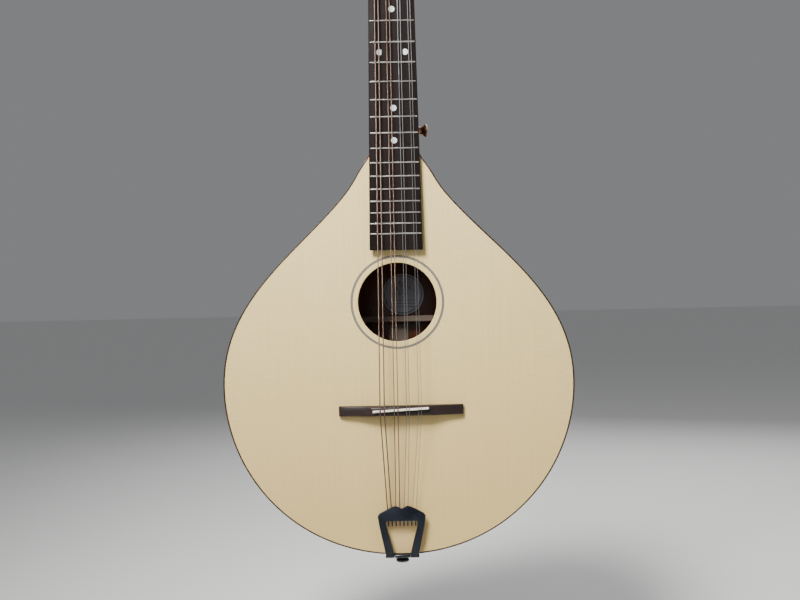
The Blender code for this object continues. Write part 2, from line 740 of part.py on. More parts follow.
def make_bridge():
    """Floating bridge with a bone saddle: two thin wings, a tall middle, and an arched foot."""
    treble = [bridge_section(*station) for station in BRIDGE_STATIONS]
    bass = [bridge_section(-station[0], *station[1:]) for station in BRIDGE_STATIONS[::-1]]
    bridge = loft("bridge", treble + bass, ROSEWOOD, bench, 25)
    slot = saddle_slab("saddle_slot", SADDLE_HALF + 0.4, SADDLE_HALF_THICK + GAP, -20.0, SADDLE_FLOOR)
    cut(bridge, slot)
    crown = string_height(saddle_height(0)) - 0.55
    saddle = saddle_slab("saddle", SADDLE_HALF, SADDLE_HALF_THICK, crown, SADDLE_FLOOR - GAP)
    saddle.data.materials.append(BONE)
    bevel(saddle, 0.4)
    spots = []
    for diameter, x, _nut in STRINGS.values():
        z = saddle_height(x)
        spots.append((x, string_height(z) + 0.45, z, diameter + 0.6, 0.0))
    cut(saddle, notch_cutter("saddle_notches", spots, (-5, 5), 0.0, bench))


def saddle_slab(name, half, half_thick, top, floor):
    """A slab along the saddle's slanted line, between two y values."""
    outline = []
    for x, side in ((-half, -1), (half, -1), (half, 1), (-half, 1)):
        z = saddle_height(SADDLE_X) + SADDLE_SLOPE * x + side * half_thick
        outline.append((SADDLE_X + x, z))
    return prism(name, outline, top, floor, None, bench)


# ---------------------------------------------------------------- tailpiece


def hinge_rod(name, low, high, radius, sides, finish=None):
    """A round bar along the tailpiece's hinge."""
    y, z = HINGE
    return rod(name, (low, y, z), (high, y, z), radius, sides, finish, bench)


def make_tailpiece():
    """Lyre-shaped frame: a crossbar with a comb of hooks, and two arms down to the hinge."""
    top = [(0, -98.4), (2.0, -97.3), (5.4, -95.7), (8.4, -96.3), (12.8, -98.2), (21.4, -102.8)]
    outer = [(23.1, -105.6), (21.7, -114.8), (19.5, -125.5), (16.7, -138.8), (KNUCKLE_END, -142.0)]
    inner = [(7.9, -142.0), (8.2, -140.0), (11.7, -126.3), (14.7, -115.7), (15.1, HOOK_ROOT)]
    right = top + outer + inner
    comb = []
    for k in range(7, -1, -1):
        x = HOOK_FIRST + HOOK_PITCH * k
        comb += [(x + 0.85, HOOK_ROOT), (x + 0.6, HOOK_TIP), (x - 0.6, HOOK_TIP), (x - 0.85, HOOK_ROOT)]
    outline = right + comb + [(-x, z) for x, z in right[:0:-1]]
    frame = prism("tailpiece", outline, *FRAME_Y, BLACK_METAL, bench)
    start, end = KNUCKLE_SPLIT + GAP, KNUCKLE_END
    for low, high in ((-end, -start), (start, end)):
        knuckle = hinge_rod("frame_knuckle", low, high, KNUCKLE_R, 14)
        link_low = (low, FRAME_Y[0] + 0.5, HINGE[1] + 0.4)
        link = box("frame_link", link_low, (high, HINGE[0] - 0.4, -141.0), None, bench)
        join(frame, knuckle, link)
    cut(frame, hinge_rod("pin_bore", -20, 20, PIN_BORE_R, 12))
    hinge_rod("tailpiece_hinge_pin", -PIN_HALF, PIN_HALF, PIN_R, 10, NICKEL)
    make_bracket()


def make_bracket():
    """Sheet bracket down the tail end, with the hinge's middle knuckle at its top."""
    half = [(KNUCKLE_SPLIT, HINGE[0] + 0.5), (KNUCKLE_SPLIT, -1.2), (14.0, -1.2), (15.5, 0.6),
            (15.5, 44.0), (11.0, 53.0)]
    outline = half + [(-x, y) for x, y in half[::-1]]
    sheet = prism("tailpiece_bracket", outline, *SHEET_Z, BLACK_METAL, bench, "z")
    join(sheet, hinge_rod("bracket_knuckle", -KNUCKLE_SPLIT, KNUCKLE_SPLIT, KNUCKLE_R, 14))
    cut(sheet, hinge_rod("bracket_bore", -20, 20, PIN_BORE_R, 12))
    cut(sheet, end_pin_hole())


def make_buttons():
    """Strap buttons: one on the tail end, one on the treble side of the heel."""
    profile = [
        (0, 14.4), (4.6, 14.4), (6.2, 13.8), (6.8, 12.6), (6.3, 11.4), (4.2, 9.6), (3.6, 6.0),
        (4.8, 1.6), (6.0, 0.0), (2.9, 0.0), (2.9, -13.0), (0, -13.0),
    ]
    turned(
        "end_button", profile, 16, BLACK_METAL, bench, (math.radians(180), 0, 0),
        (0, END_PIN_DEPTH, SHEET_Z[0] - GAP),
    )
    small = [
        (0, 8.4), (4.9, 8.4), (6.4, 7.6), (6.5, 6.6), (4.4, 4.2), (3.4, 2.2), (4.2, 0.0),
        (1.8, 0.0), (1.8, -9.0), (0, -9.0),
    ]
    turned(
        "heel_button", small, 16, BUTTON_METAL, bench, (0, math.radians(90), 0),
        (HEEL_BUTTON_X, *HEEL_BUTTON),
    )


# ---------------------------------------------------------------- machine heads


def make_base_plate(name, side):
    """Base plate on the headstock's back, with two bearing lugs for each worm shaft."""
    x = side * POST_X
    low, high = POST_FIRST - 10, POST_FIRST + POST_PITCH * 3 + 16
    outline = [(x - 7.2, low), (x + 7.2, low), (x + 7.2, high), (x - 7.2, high)]
    base = prism(name, outline, PLATE_FRONT, PLATE_BACK, NICKEL, head_frame)
    for k in range(4):
        z = POST_FIRST + POST_PITCH * k + WORM_OFFSET
        for way in (-1, 1):
            centre = x + way * LUG_X
            lug = box(
                "lug", (centre - 0.6, PLATE_BACK - 0.6, z - 3.4),
                (centre + 0.6, WORM_Y + 3.4, z + 3.4), None, head_frame,
            )
            join(base, lug)
        bore = rod("lug_bore", (x - 9, WORM_Y, z), (x + 9, WORM_Y, z), 1.9, 8, None, head_frame)
        cut(base, bore)
    cut(base, post_holes(f"{name}_post_holes", PLATE_FRONT - 1, PLATE_BACK + 1))


def gear_outline():
    """Fifteen teeth, with a space facing the worm."""
    points = []
    for k in range(GEAR_TEETH):
        middle = math.pi / 2 + 2 * math.pi * (k + 0.5) / GEAR_TEETH
        for radius, thick in ((GEAR_R_ROOT, 1.1), (GEAR_R_OUT, 0.55)):
            points.append((radius, middle - thick / 2 / radius))
        for radius, thick in ((GEAR_R_OUT, 0.55), (GEAR_R_ROOT, 1.1)):
            points.append((radius, middle + thick / 2 / radius))
    return [(r * math.cos(a), r * math.sin(a)) for r, a in points]


def make_post_mesh():
    """String post with its gear: a waisted capstan in front, the gear and screw behind."""
    gear_front, gear_back = WORM_Y - GEAR_THICK / 2, WORM_Y + GEAR_THICK / 2
    top = POST_STANDS
    neck_r = 2.3
    profile = [
        (0, top), (2.4, top), (POST_R, top - 0.8), (POST_R, top - 3.6), (neck_r, top - 4.6),
        (neck_r, top - 9.0), (POST_R, top - 10.2), (POST_R, 0.5 - gear_back), (0, 0.5 - gear_back),
    ]
    post = turned("post_turning", profile, 12, NICKEL, head_frame, (math.radians(90), 0, 0))
    gear = prism("gear", gear_outline(), gear_front, gear_back, None, head_frame)
    screw = rod("gear_screw", (0, gear_back - 0.8, 0), (0, gear_back + 1.3, 0), 2.5, 8, None, head_frame)
    join(post, gear, screw)
    return baked(post)


def make_worm_mesh(side):
    """Worm, shaft and button in one, turning about x. side is where its button lies."""
    inner, outer = -LUG_X - 1.9, 17.2
    points = [
        (0, inner), (SHAFT_R, inner), (SHAFT_R, -4.4), (WORM_R_ROOT, -4.4), (WORM_R_ROOT, 4.4),
        (SHAFT_R, 4.4), (SHAFT_R, outer + 2), (0, outer + 2),
    ]
    turn = (0, side * math.radians(90), 0)
    shaft = turned(f"worm_{side}", points[::-1], 10, NICKEL, head_frame, turn)
    sections = []
    turns, steps = 2.4, 10
    for k in range(int(turns * steps) + 1):
        angle = 2 * math.pi * (k / steps - turns / 2)
        along = WORM_PITCH * angle / (2 * math.pi)
        corners = ((1.5, -0.6), (1.5, 0.6), (WORM_R_OUT, 0.25), (WORM_R_OUT, -0.25))
        sections.append(
            [(along + dx, r * math.sin(angle), -r * math.cos(angle)) for r, dx in corners]
        )
    thread = loft("thread", sections, None, head_frame)
    button = make_button_body(side, outer)
    join(shaft, thread, button)
    return baked(shaft)


def make_button_body(side, start):
    """An oval button, flat-sided, on the shaft's outer end."""
    bm = bmesh.new()
    bmesh.ops.create_uvsphere(bm, u_segments=10, v_segments=6, radius=1.0)
    bmesh.ops.scale(bm, vec=Vector((6.8, 3.6, 7.4)) * MM, verts=bm.verts)
    bmesh.ops.translate(bm, vec=Vector((side * (start + 6.4), 0, 0)) * MM, verts=bm.verts)
    return place("button_body", mesh_from(bm, "button_body", 60), BUTTON_PLASTIC, head_frame)


def make_tuners():
    make_base_plate("tuner_plate_bass", -1)
    make_base_plate("tuner_plate_treble", 1)
    post_mesh = make_post_mesh()
    post_mesh.transform(Matrix.Rotation(math.radians(90), 4, "X"))
    worm_meshes = {}
    for side in (-1, 1):
        worm_meshes[side] = make_worm_mesh(side)
        worm_meshes[side].transform(Matrix.Rotation(side * math.radians(90), 4, "Y"))
    names = {-1: "bass", 1: "treble"}
    for side, k, (x, z) in post_places():
        post = place(f"string_post_{names[side]}_{k + 1}", post_mesh, NICKEL, head_frame)
        post.location = Vector((x, 0, z)) * MM
        worm = place(f"tuner_shaft_{names[side]}_{k + 1}", worm_meshes[side], NICKEL, head_frame)
        worm.location = Vector((x, WORM_Y, z + WORM_OFFSET)) * MM


make_plates()
make_sides()
make_linings()
make_blocks()
make_braces()
make_seam_strip()
make_neck()
make_fretboard()
make_nut_and_rod()
make_bridge()
make_tailpiece()
make_buttons()
make_tuners()
make_strings()
bpy.context.view_layer.update()
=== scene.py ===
"""Looks of a long-scale flat-top mandolin with four double courses.

Pieces are shaped in millimetres in one of three frames, and then brought to their place in
metres. BENCH has its origin on the soundboard's face where the scale ends, with y going into
the body and z up the neck. NECK starts where the neck meets the body, HEAD at the nut.
"""

import math

import bpy
from mathutils import Matrix, Vector
from mathutils.geometry import interpolate_bezier


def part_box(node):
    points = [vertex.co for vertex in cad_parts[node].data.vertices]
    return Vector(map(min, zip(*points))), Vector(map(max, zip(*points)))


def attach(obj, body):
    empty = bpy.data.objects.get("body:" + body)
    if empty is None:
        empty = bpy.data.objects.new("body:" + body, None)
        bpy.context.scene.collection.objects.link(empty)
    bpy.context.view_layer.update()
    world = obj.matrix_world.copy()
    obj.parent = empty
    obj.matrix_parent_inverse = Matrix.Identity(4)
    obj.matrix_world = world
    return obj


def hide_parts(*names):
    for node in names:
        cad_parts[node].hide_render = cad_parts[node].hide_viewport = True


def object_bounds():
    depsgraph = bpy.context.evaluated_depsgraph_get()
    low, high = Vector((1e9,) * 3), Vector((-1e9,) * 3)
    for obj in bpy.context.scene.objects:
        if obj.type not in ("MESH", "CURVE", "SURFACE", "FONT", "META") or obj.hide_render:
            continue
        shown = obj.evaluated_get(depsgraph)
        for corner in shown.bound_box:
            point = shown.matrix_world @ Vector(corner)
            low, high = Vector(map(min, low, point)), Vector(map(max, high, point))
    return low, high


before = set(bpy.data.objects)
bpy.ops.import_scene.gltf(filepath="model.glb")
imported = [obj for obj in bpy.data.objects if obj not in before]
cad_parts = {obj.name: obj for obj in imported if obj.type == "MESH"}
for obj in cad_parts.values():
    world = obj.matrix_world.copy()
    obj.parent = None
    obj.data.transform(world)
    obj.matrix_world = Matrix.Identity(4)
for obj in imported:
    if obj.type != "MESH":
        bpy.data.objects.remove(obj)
cad_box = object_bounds()

# ---------------------------------------------------------------- sizes and frames

MM = 0.001
ROOT = "body_and_neck"
SCALE_LENGTH = 660.0
BODY_JOIN = 240.0
HOLE_AT, HOLE_R = 99.5, 38.0
DEPTH_TAIL, DEPTH_NECK = 88.0, 76.0
TAIL_Z, NECK_Z = -142.7, 241.0
NECK_ANGLE, HEAD_ANGLE = math.radians(1.3), math.radians(14.0)
HEAD_AT = SCALE_LENGTH + 5.0 - BODY_JOIN
HEAD_THICK = 14.5
FRETBOARD_THICK = 6.0
SIDES = {-1: "bass", 1: "treble"}

soundboard_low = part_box("soundboard")[0]
rosette_low, rosette_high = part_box("rosette")
scale_end = (rosette_low.z + rosette_high.z) / 2 - HOLE_AT * MM

BRACKET_FACE = -146.0
BENCH = Matrix.Translation((0, soundboard_low.y, scale_end)) @ Matrix.Scale(MM, 4)
NECK = BENCH @ Matrix.Translation((0, -0.3, BODY_JOIN)) @ Matrix.Rotation(-NECK_ANGLE, 4, "X")
HEAD = NECK @ Matrix.Translation((0, 0, HEAD_AT)) @ Matrix.Rotation(-HEAD_ANGLE, 4, "X")
HEAD_TO_BENCH = BENCH.inverted() @ HEAD


# ---------------------------------------------------------------- modelling by hand


def clear_selection():
    bpy.ops.object.select_all(action="DESELECT")


def take(thing):
    """Makes this the one selected and active object."""
    clear_selection()
    thing.select_set(True)
    bpy.context.view_layer.objects.active = thing
    return thing


def added(name):
    """Names what an add operator just made, and applies its place and size."""
    made = bpy.context.object
    made.name = name
    bpy.ops.object.transform_apply(location=True, rotation=True, scale=True)
    return made


def cube(name, low, high):
    low, high = Vector(low), Vector(high)
    clear_selection()
    bpy.ops.mesh.primitive_cube_add(size=1, location=(low + high) / 2)
    bpy.context.object.scale = high - low
    return added(name)


def bar(name, start, end, radius, sides=24, tip_radius=None):
    """A round bar or cone between two points."""
    start, end = Vector(start), Vector(end)
    turn = (end - start).to_track_quat("Z", "Y").to_euler()
    clear_selection()
    bpy.ops.mesh.primitive_cone_add(
        vertices=sides, radius1=radius, radius2=radius if tip_radius is None else tip_radius,
        depth=(end - start).length, location=(start + end) / 2, rotation=turn,
    )
    return added(name)


def plate(name, outline, low, high, along="y"):
    """A flat outline, extruded from low to high along an axis."""
    clear_selection()
    bpy.ops.mesh.primitive_circle_add(vertices=len(outline), radius=1, fill_type="NGON")
    made = added(name)
    for vertex, (a, b) in zip(made.data.vertices, outline):
        vertex.co = {"y": (a, low, b), "z": (a, b, low), "x": (low, a, b)}[along]
    step = {"y": (0, high - low, 0), "z": (0, 0, high - low), "x": (high - low, 0, 0)}[along]
    bpy.ops.object.mode_set(mode="EDIT")
    bpy.ops.mesh.select_all(action="SELECT")
    bpy.ops.mesh.extrude_region_move(TRANSFORM_OT_translate={"value": step})
    bpy.ops.mesh.select_all(action="SELECT")
    bpy.ops.mesh.normals_make_consistent(inside=False)
    bpy.ops.object.mode_set(mode="OBJECT")
    return made


def apply_modifier(thing, modifier):
    take(thing)
    bpy.ops.object.modifier_apply(modifier=modifier.name)
    return thing


def soften(thing, width, segments=2, angle=30.0):
    """Rounds the sharp edges."""
    modifier = thing.modifiers.new("edges", "BEVEL")
    modifier.width = width
    modifier.segments = segments
    modifier.limit_method = "ANGLE"
    modifier.angle_limit = math.radians(angle)
    modifier.use_clamp_overlap = True
    modifier.harden_normals = False
    return apply_modifier(thing, modifier)


def smooth(thing, angle=35.0):
    take(thing)
    bpy.ops.object.shade_smooth_by_angle(angle=math.radians(angle))
    return thing


def cut(thing, *tools):
    for tool in tools:
        modifier = thing.modifiers.new("cut", "BOOLEAN")
        modifier.operation = "DIFFERENCE"
        modifier.object = tool
        apply_modifier(thing, modifier)
        bpy.data.objects.remove(tool, do_unlink=True)
    return thing


def joined(first, *others):
    """Puts loose pieces into one object."""
    take(first)
    for other in others:
        other.select_set(True)
    bpy.ops.object.join()
    return first


def turned(name, profile, steps=32):
    """A profile of (radius, height), turned about z and closed."""
    curve = bpy.data.curves.new(name, "CURVE")
    curve.dimensions = "3D"
    spline = curve.splines.new("POLY")
    spline.points.add(len(profile) - 1)
    for point, (radius, height) in zip(spline.points, profile):
        point.co = (radius, 0, height, 1)
    made = bpy.data.objects.new(name, curve)
    bpy.context.scene.collection.objects.link(made)
    take(made)
    bpy.ops.object.convert(target="MESH")
    made = bpy.context.object
    modifier = made.modifiers.new("turn", "SCREW")
    modifier.steps = steps
    modifier.render_steps = steps
    modifier.use_merge_vertices = True
    modifier.merge_threshold = 0.001
    apply_modifier(made, modifier)
    return tidy_skin(made)


def tidy_skin(thing, merge=0.0005):
    """Merges doubles and turns every face outwards."""
    take(thing)
    bpy.ops.object.mode_set(mode="EDIT")
    bpy.ops.mesh.select_all(action="SELECT")
    bpy.ops.mesh.remove_doubles(threshold=merge)
    bpy.ops.mesh.normals_make_consistent(inside=False)
    bpy.ops.object.mode_set(mode="OBJECT")
    return thing


def tube(name, points, radius, sides=3, closed=False):
    """A round wire through points. sides is the bevel resolution."""
    curve = bpy.data.curves.new(name, "CURVE")
    curve.dimensions = "3D"
    curve.bevel_depth = radius
    curve.bevel_resolution = sides
    curve.use_fill_caps = not closed
    spline = curve.splines.new("POLY")
    spline.points.add(len(points) - 1)
    spline.use_cyclic_u = closed
    for point, spot in zip(spline.points, points):
        point.co = (*spot, 1)
    made = bpy.data.objects.new(name, curve)
    bpy.context.scene.collection.objects.link(made)
    take(made)
    bpy.ops.object.convert(target="MESH")
    return tidy_skin(bpy.context.object)


def moved(thing, matrix):
    thing.data.transform(matrix)
    return thing


def finished(thing, place, finish, body=ROOT, replaces=()):
    """Brings a piece to its place in metres, gives it its finish, and fixes it to a body."""
    if place is not None:
        thing.data.transform(place)
    thing.data.materials.clear()
    for material in finish if isinstance(finish, (list, tuple)) else [finish]:
        thing.data.materials.append(material)
    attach(thing, body)
    if replaces:
        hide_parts(*replaces)
    return thing


def remade(node, name, finish, body=ROOT, edge=0.4, segments=2, angle=35.0):
    """A copy of a CAD node with clean faces, rounded edges and smooth curves."""
    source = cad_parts[node]
    made = bpy.data.objects.new(name, source.data.copy())
    bpy.context.scene.collection.objects.link(made)
    take(made)
    bpy.ops.object.mode_set(mode="EDIT")
    bpy.ops.mesh.select_all(action="SELECT")
    bpy.ops.mesh.remove_doubles(threshold=0.00001)
    bpy.ops.mesh.dissolve_limited(angle_limit=math.radians(0.6))
    bpy.ops.object.mode_set(mode="OBJECT")
    if edge:
        soften(made, edge * MM, segments, angle)
    smooth(made, angle)
    return finished(made, None, finish, body, (node,))


# ---------------------------------------------------------------- node groups


def node(tree, kind, inputs=None, **settings):
    """Adds a shader node. inputs gives each socket a number, a colour or another socket."""
    made = tree.nodes.new(kind)
    for key, value in settings.items():
        setattr(made, key, value)
    for key, value in (inputs or {}).items():
        socket = made.inputs[key]
        if isinstance(value, bpy.types.NodeSocket):
            tree.links.new(value, socket)
        else:
            socket.default_value = value
    return made


def maths(tree, operation, first, second=0.0):
    made = node(tree, "ShaderNodeMath", {0: first, 1: second}, operation=operation)
    return made.outputs[0]


def spread(tree, value, low, high):
    """Stretches the part of a value between low and high to 0..1."""
    made = node(tree, "ShaderNodeMapRange", {"Value": value, "From Min": low, "From Max": high})
    return made.outputs[0]


def blended(tree, share, first, second, mode="MIX"):
    made = node(tree, "ShaderNodeMix", data_type="RGBA", blend_type=mode)
    for index, value in ((0, share), (6, first), (7, second)):
        socket = made.inputs[index]
        if isinstance(value, bpy.types.NodeSocket):
            tree.links.new(value, socket)
        else:
            socket.default_value = value
    return made.outputs[2]


def stretched(tree, vector, scale):
    made = node(tree, "ShaderNodeVectorMath", {0: vector}, operation="MULTIPLY")
    made.inputs[1].default_value = scale
    return made.outputs[0]


def clouds(tree, vector, scale, detail=3.0, rough=0.55, distort=0.0):
    inputs = {
        "Vector": vector, "Scale": scale, "Detail": detail, "Roughness": rough,
        "Distortion": distort,
    }
    return node(tree, "ShaderNodeTexNoise", inputs).outputs[0]


def new_group(name, inputs, outputs):
    group = bpy.data.node_groups.new(name, "ShaderNodeTree")
    for label, kind, value in inputs:
        socket = group.interface.new_socket(label, in_out="INPUT", socket_type=kind)
        if value is not None:
            socket.default_value = value
    for label, kind in outputs:
        group.interface.new_socket(label, in_out="OUTPUT", socket_type=kind)
    entry = group.nodes.new("NodeGroupInput")
    leave = group.nodes.new("NodeGroupOutput")
    return group, entry.outputs, leave.inputs


VECTOR, FLOAT = "NodeSocketVector", "NodeSocketFloat"


def grain_group():
    """Wood grain along z: wide figure, growth rings, fine fibres and open pores."""
    group, take_in, give = new_group(
        "wood_grain",
        [("Vector", VECTOR, None), ("Rings", FLOAT, 500.0), ("Wander", FLOAT, 0.004),
         ("Fibres", FLOAT, 2500.0), ("Pores", FLOAT, 1400.0)],
        [("Figure", FLOAT), ("Rings", FLOAT), ("Fibres", FLOAT), ("Pores", FLOAT)],
    )
    slow = stretched(group, take_in["Vector"], (9.0, 9.0, 2.5))
    wander = maths(group, "SUBTRACT", clouds(group, slow, 1.0, 2.0), 0.5)
    shift = node(group, "ShaderNodeCombineXYZ", {"X": maths(group, "MULTIPLY", wander, take_in["Wander"])})
    warped = node(group, "ShaderNodeVectorMath", {0: take_in["Vector"], 1: shift.outputs[0]})
    across = warped.outputs[0]
    figure = clouds(group, stretched(group, across, (60.0, 60.0, 3.0)), 1.0, 4.0, 0.6)
    group.links.new(figure, give["Figure"])
    rings_at = stretched(group, across, (1.0, 0.6, 0.012))
    rings = node(group, "ShaderNodeTexNoise", {"Vector": rings_at, "Scale": take_in["Rings"], "Detail": 2.0})
    group.links.new(spread(group, rings.outputs[0], 0.32, 0.68), give["Rings"])
    fibres_at = stretched(group, across, (1.0, 1.0, 0.02))
    fibres = node(group, "ShaderNodeTexNoise",
                  {"Vector": fibres_at, "Scale": take_in["Fibres"], "Detail": 3.0})
    group.links.new(fibres.outputs[0], give["Fibres"])
    pores_at = stretched(group, across, (1.0, 1.0, 0.07))
    pores = node(group, "ShaderNodeTexNoise", {"Vector": pores_at, "Scale": take_in["Pores"], "Detail": 1.0})
    group.links.new(spread(group, pores.outputs[0], 0.60, 0.70), give["Pores"])
    return group


def handling_group():
    """Soft smudges and fine scratches from handling, as masks."""
    group, take_in, give = new_group(
        "handling",
        [("Vector", VECTOR, None), ("Smudge Size", FLOAT, 25.0), ("Scratch Size", FLOAT, 700.0)],
        [("Smudges", FLOAT), ("Scratches", FLOAT)],
    )
    smudges = node(group, "ShaderNodeTexNoise",
                   {"Vector": take_in["Vector"], "Scale": take_in["Smudge Size"], "Detail": 5.0})
    group.links.new(spread(group, smudges.outputs[0], 0.38, 0.66), give["Smudges"])
    turned_at = node(group, "ShaderNodeMapping", {"Vector": take_in["Vector"]})
    turned_at.inputs["Rotation"].default_value = (0.4, 0.2, 0.7)
    thin = stretched(group, turned_at.outputs[0], (1.0, 1.0, 0.04))
    scratches = node(group, "ShaderNodeTexNoise", {"Vector": thin, "Scale": take_in["Scratch Size"]})
    group.links.new(spread(group, scratches.outputs[0], 0.63, 0.72), give["Scratches"])
    return group


GRAIN = grain_group()
HANDLING = handling_group()


def use(tree, group, vector, **values):
    made = tree.nodes.new("ShaderNodeGroup")
    made.node_tree = group
    tree.links.new(vector, made.inputs["Vector"])
    for key, value in values.items():
        made.inputs[key.replace("_", " ")].default_value = value
    return made.outputs


def start_material(name):
    made = bpy.data.materials.new(name)
    made.use_nodes = True
    tree = made.node_tree
    return made, tree, tree.nodes["Principled BSDF"]


def coordinates(tree, turn=(0, 0, 0), shift=(0, 0, 0), source="Object"):
    """Where on the piece a point is. turn lays the pattern along another axis."""
    spot = node(tree, "ShaderNodeTexCoord").outputs[source]
    made = node(tree, "ShaderNodeMapping", {"Vector": spot})
    made.inputs["Rotation"].default_value = turn
    made.inputs["Location"].default_value = shift
    return made.outputs[0]


def bump(tree, shader, height, strength, distance):
    made = node(tree, "ShaderNodeBump", {"Height": height, "Strength": strength, "Distance": distance})
    tree.links.new(made.outputs[0], shader.inputs["Normal"])


def colour(red, green, blue):
    return (red, green, blue, 1.0)


# ---------------------------------------------------------------- finishes

ALONG_X = (0, math.radians(90), 0)


# Painted shade on the top: where its darkening towards the tail begins, and where it is full.
TAIL_SHADE_FROM, TAIL_SHADE_TO = 0.17, -0.13
CENTRE_FROM, CENTRE_TO = -0.008, -0.03


def spruce_top():
    """Pale quarter-sawn spruce, in two matched halves, under a thin satin varnish."""
    made, tree, shader = start_material("spruce_top")
    spot = coordinates(tree)
    parts = node(tree, "ShaderNodeSeparateXYZ", {0: spot}).outputs
    mirrored = maths(tree, "ABSOLUTE", parts[0])
    halves = node(tree, "ShaderNodeCombineXYZ", {"X": mirrored, "Y": parts[1], "Z": parts[2]}).outputs[0]
    grain = use(tree, GRAIN, halves, Rings=620.0, Wander=0.006, Fibres=3200.0, Pores=2000.0)
    silk_at = stretched(tree, halves, (75.0, 75.0, 600.0))
    silk = spread(tree, clouds(tree, silk_at, 1.0, 3.0, 0.6, 0.4), 0.50, 0.72)
    patches = spread(tree, clouds(tree, stretched(tree, halves, (14.0, 14.0, 5.0)), 1.0, 2.0), 0.42, 0.7)
    silk = maths(tree, "MULTIPLY", silk, patches)
    base = blended(tree, grain["Figure"], colour(0.735, 0.56, 0.235), colour(0.78, 0.61, 0.275))
    lined = blended(tree, maths(tree, "MULTIPLY", grain["Rings"], 0.22), base, colour(0.58, 0.39, 0.13))
    fibred = blended(tree, maths(tree, "MULTIPLY", grain["Fibres"], 0.12), lined, colour(0.83, 0.69, 0.38))
    shown = blended(tree, maths(tree, "MULTIPLY", silk, 0.55), fibred, colour(0.89, 0.76, 0.45))
    # Painted shade: the top is darkened towards the tail, where the light falls off.
    aged = maths(tree, "MULTIPLY", spread(tree, parts[2], scale_end + TAIL_SHADE_FROM, scale_end + TAIL_SHADE_TO), 0.62)
    shown = blended(tree, aged, shown, colour(0.62, 0.435, 0.16))
    under_bridge = spread(tree, parts[2], scale_end + CENTRE_FROM, scale_end + CENTRE_TO)
    centre = maths(tree, "MULTIPLY", spread(tree, mirrored, 0.012, 0.001), under_bridge)
    shown = blended(tree, maths(tree, "MULTIPLY", centre, 0.28), shown, colour(0.62, 0.39, 0.21))
    seam = spread(tree, mirrored, 0.00028, 0.0)
    shown = blended(tree, maths(tree, "MULTIPLY", seam, 0.3), shown, colour(0.42, 0.30, 0.16))
    tree.links.new(shown, shader.inputs["Base Color"])
    smudges = use(tree, HANDLING, spot, Smudge_Size=12.0)["Smudges"]
    rough = maths(tree, "ADD", maths(tree, "MULTIPLY", smudges, 0.05), 0.40)
    tree.links.new(maths(tree, "ADD", rough, maths(tree, "MULTIPLY", grain["Rings"], 0.04)),
                   shader.inputs["Roughness"])
    shader.inputs["Specular IOR Level"].default_value = 0.4
    bump(tree, shader, grain["Rings"], 0.06, 0.0002)
    return made


def figured_wood(name, dark, light, rings, turn=(0, 0, 0), source="Object",
                 rough=0.36, gloss=0.5, seam=False):
    """Open-pored hardwood with flowing figure: dark and light are its two shades."""
    made, tree, shader = start_material(name)
    spot = coordinates(tree, turn, source=source)
    grain = use(tree, GRAIN, spot, Rings=rings, Wander=0.03, Fibres=2600.0, Pores=1500.0)
    base = blended(tree, spread(tree, grain["Figure"], 0.3, 0.7), dark, light)
    deep = tuple(0.45 * c for c in dark[:3]) + (1.0,)
    lined = blended(tree, maths(tree, "MULTIPLY", grain["Rings"], 0.45), base, deep)
    deepest = tuple(0.5 * c for c in deep[:3]) + (1.0,)
    pored = blended(tree, maths(tree, "MULTIPLY", grain["Pores"], 0.6), lined, deepest)
    if seam:
        parts = node(tree, "ShaderNodeSeparateXYZ", {0: spot}).outputs
        line = spread(tree, maths(tree, "ABSOLUTE", parts[0]), 0.0006, 0.0004)
        pored = blended(tree, line, pored, colour(0.012, 0.006, 0.005))
    tree.links.new(pored, shader.inputs["Base Color"])
    smudges = use(tree, HANDLING, spot, Smudge_Size=16.0)["Smudges"]
    shine = maths(tree, "ADD", maths(tree, "MULTIPLY", smudges, 0.10), rough - 0.05)
    tree.links.new(shine, shader.inputs["Roughness"])
    shader.inputs["Specular IOR Level"].default_value = gloss
    bump(tree, shader, maths(tree, "SUBTRACT", 1.0, grain["Pores"]), 0.25, 0.00008)
    return made


def raw_wood(name, shade, turn=(0, 0, 0)):
    """Sanded inside wood with no varnish."""
    made, tree, shader = start_material(name)
    spot = coordinates(tree, turn)
    grain = use(tree, GRAIN, spot, Rings=520.0, Wander=0.004, Fibres=2600.0, Pores=1500.0)
    dark = tuple(0.62 * c for c in shade[:3]) + (1.0,)
    lined = blended(tree, maths(tree, "MULTIPLY", grain["Rings"], 0.5), shade, dark)
    shown = blended(tree, maths(tree, "MULTIPLY", grain["Fibres"], 0.25), lined, dark)
    tree.links.new(shown, shader.inputs["Base Color"])
    shader.inputs["Roughness"].default_value = 0.72
    bump(tree, shader, grain["Fibres"], 0.2, 0.0001)
    return made


def kerfed_wood():
    """Lining strips, sawn across every few millimetres so that they bend; the cuts are painted near black as
    painted shade in the slots.
    """
    made, tree, shader = start_material("kerfed_lining")
    spot = coordinates(tree)
    parts = node(tree, "ShaderNodeSeparateXYZ", {0: spot}).outputs
    turn = maths(tree, "ARCTAN2", parts[0], maths(tree, "ADD", parts[2], -0.02 - scale_end))
    kerf = maths(tree, "FRACT", maths(tree, "MULTIPLY", turn, 36.0))
    slot_mask = spread(tree, maths(tree, "ABSOLUTE", maths(tree, "SUBTRACT", kerf, 0.5)), 0.09, 0.07)
    grain = use(tree, GRAIN, spot, Rings=500.0, Wander=0.004, Fibres=2400.0, Pores=1500.0)
    wood = blended(tree, grain["Fibres"], colour(0.24, 0.13, 0.075), colour(0.34, 0.20, 0.115))
    # The kerf slots are painted near black: painted shade in the cuts.
    tree.links.new(blended(tree, slot_mask, wood, colour(0.02, 0.01, 0.006)), shader.inputs["Base Color"])
    shader.inputs["Roughness"].default_value = 0.7
    bump(tree, shader, maths(tree, "SUBTRACT", 1.0, slot_mask), 0.7, 0.0006)
    return made


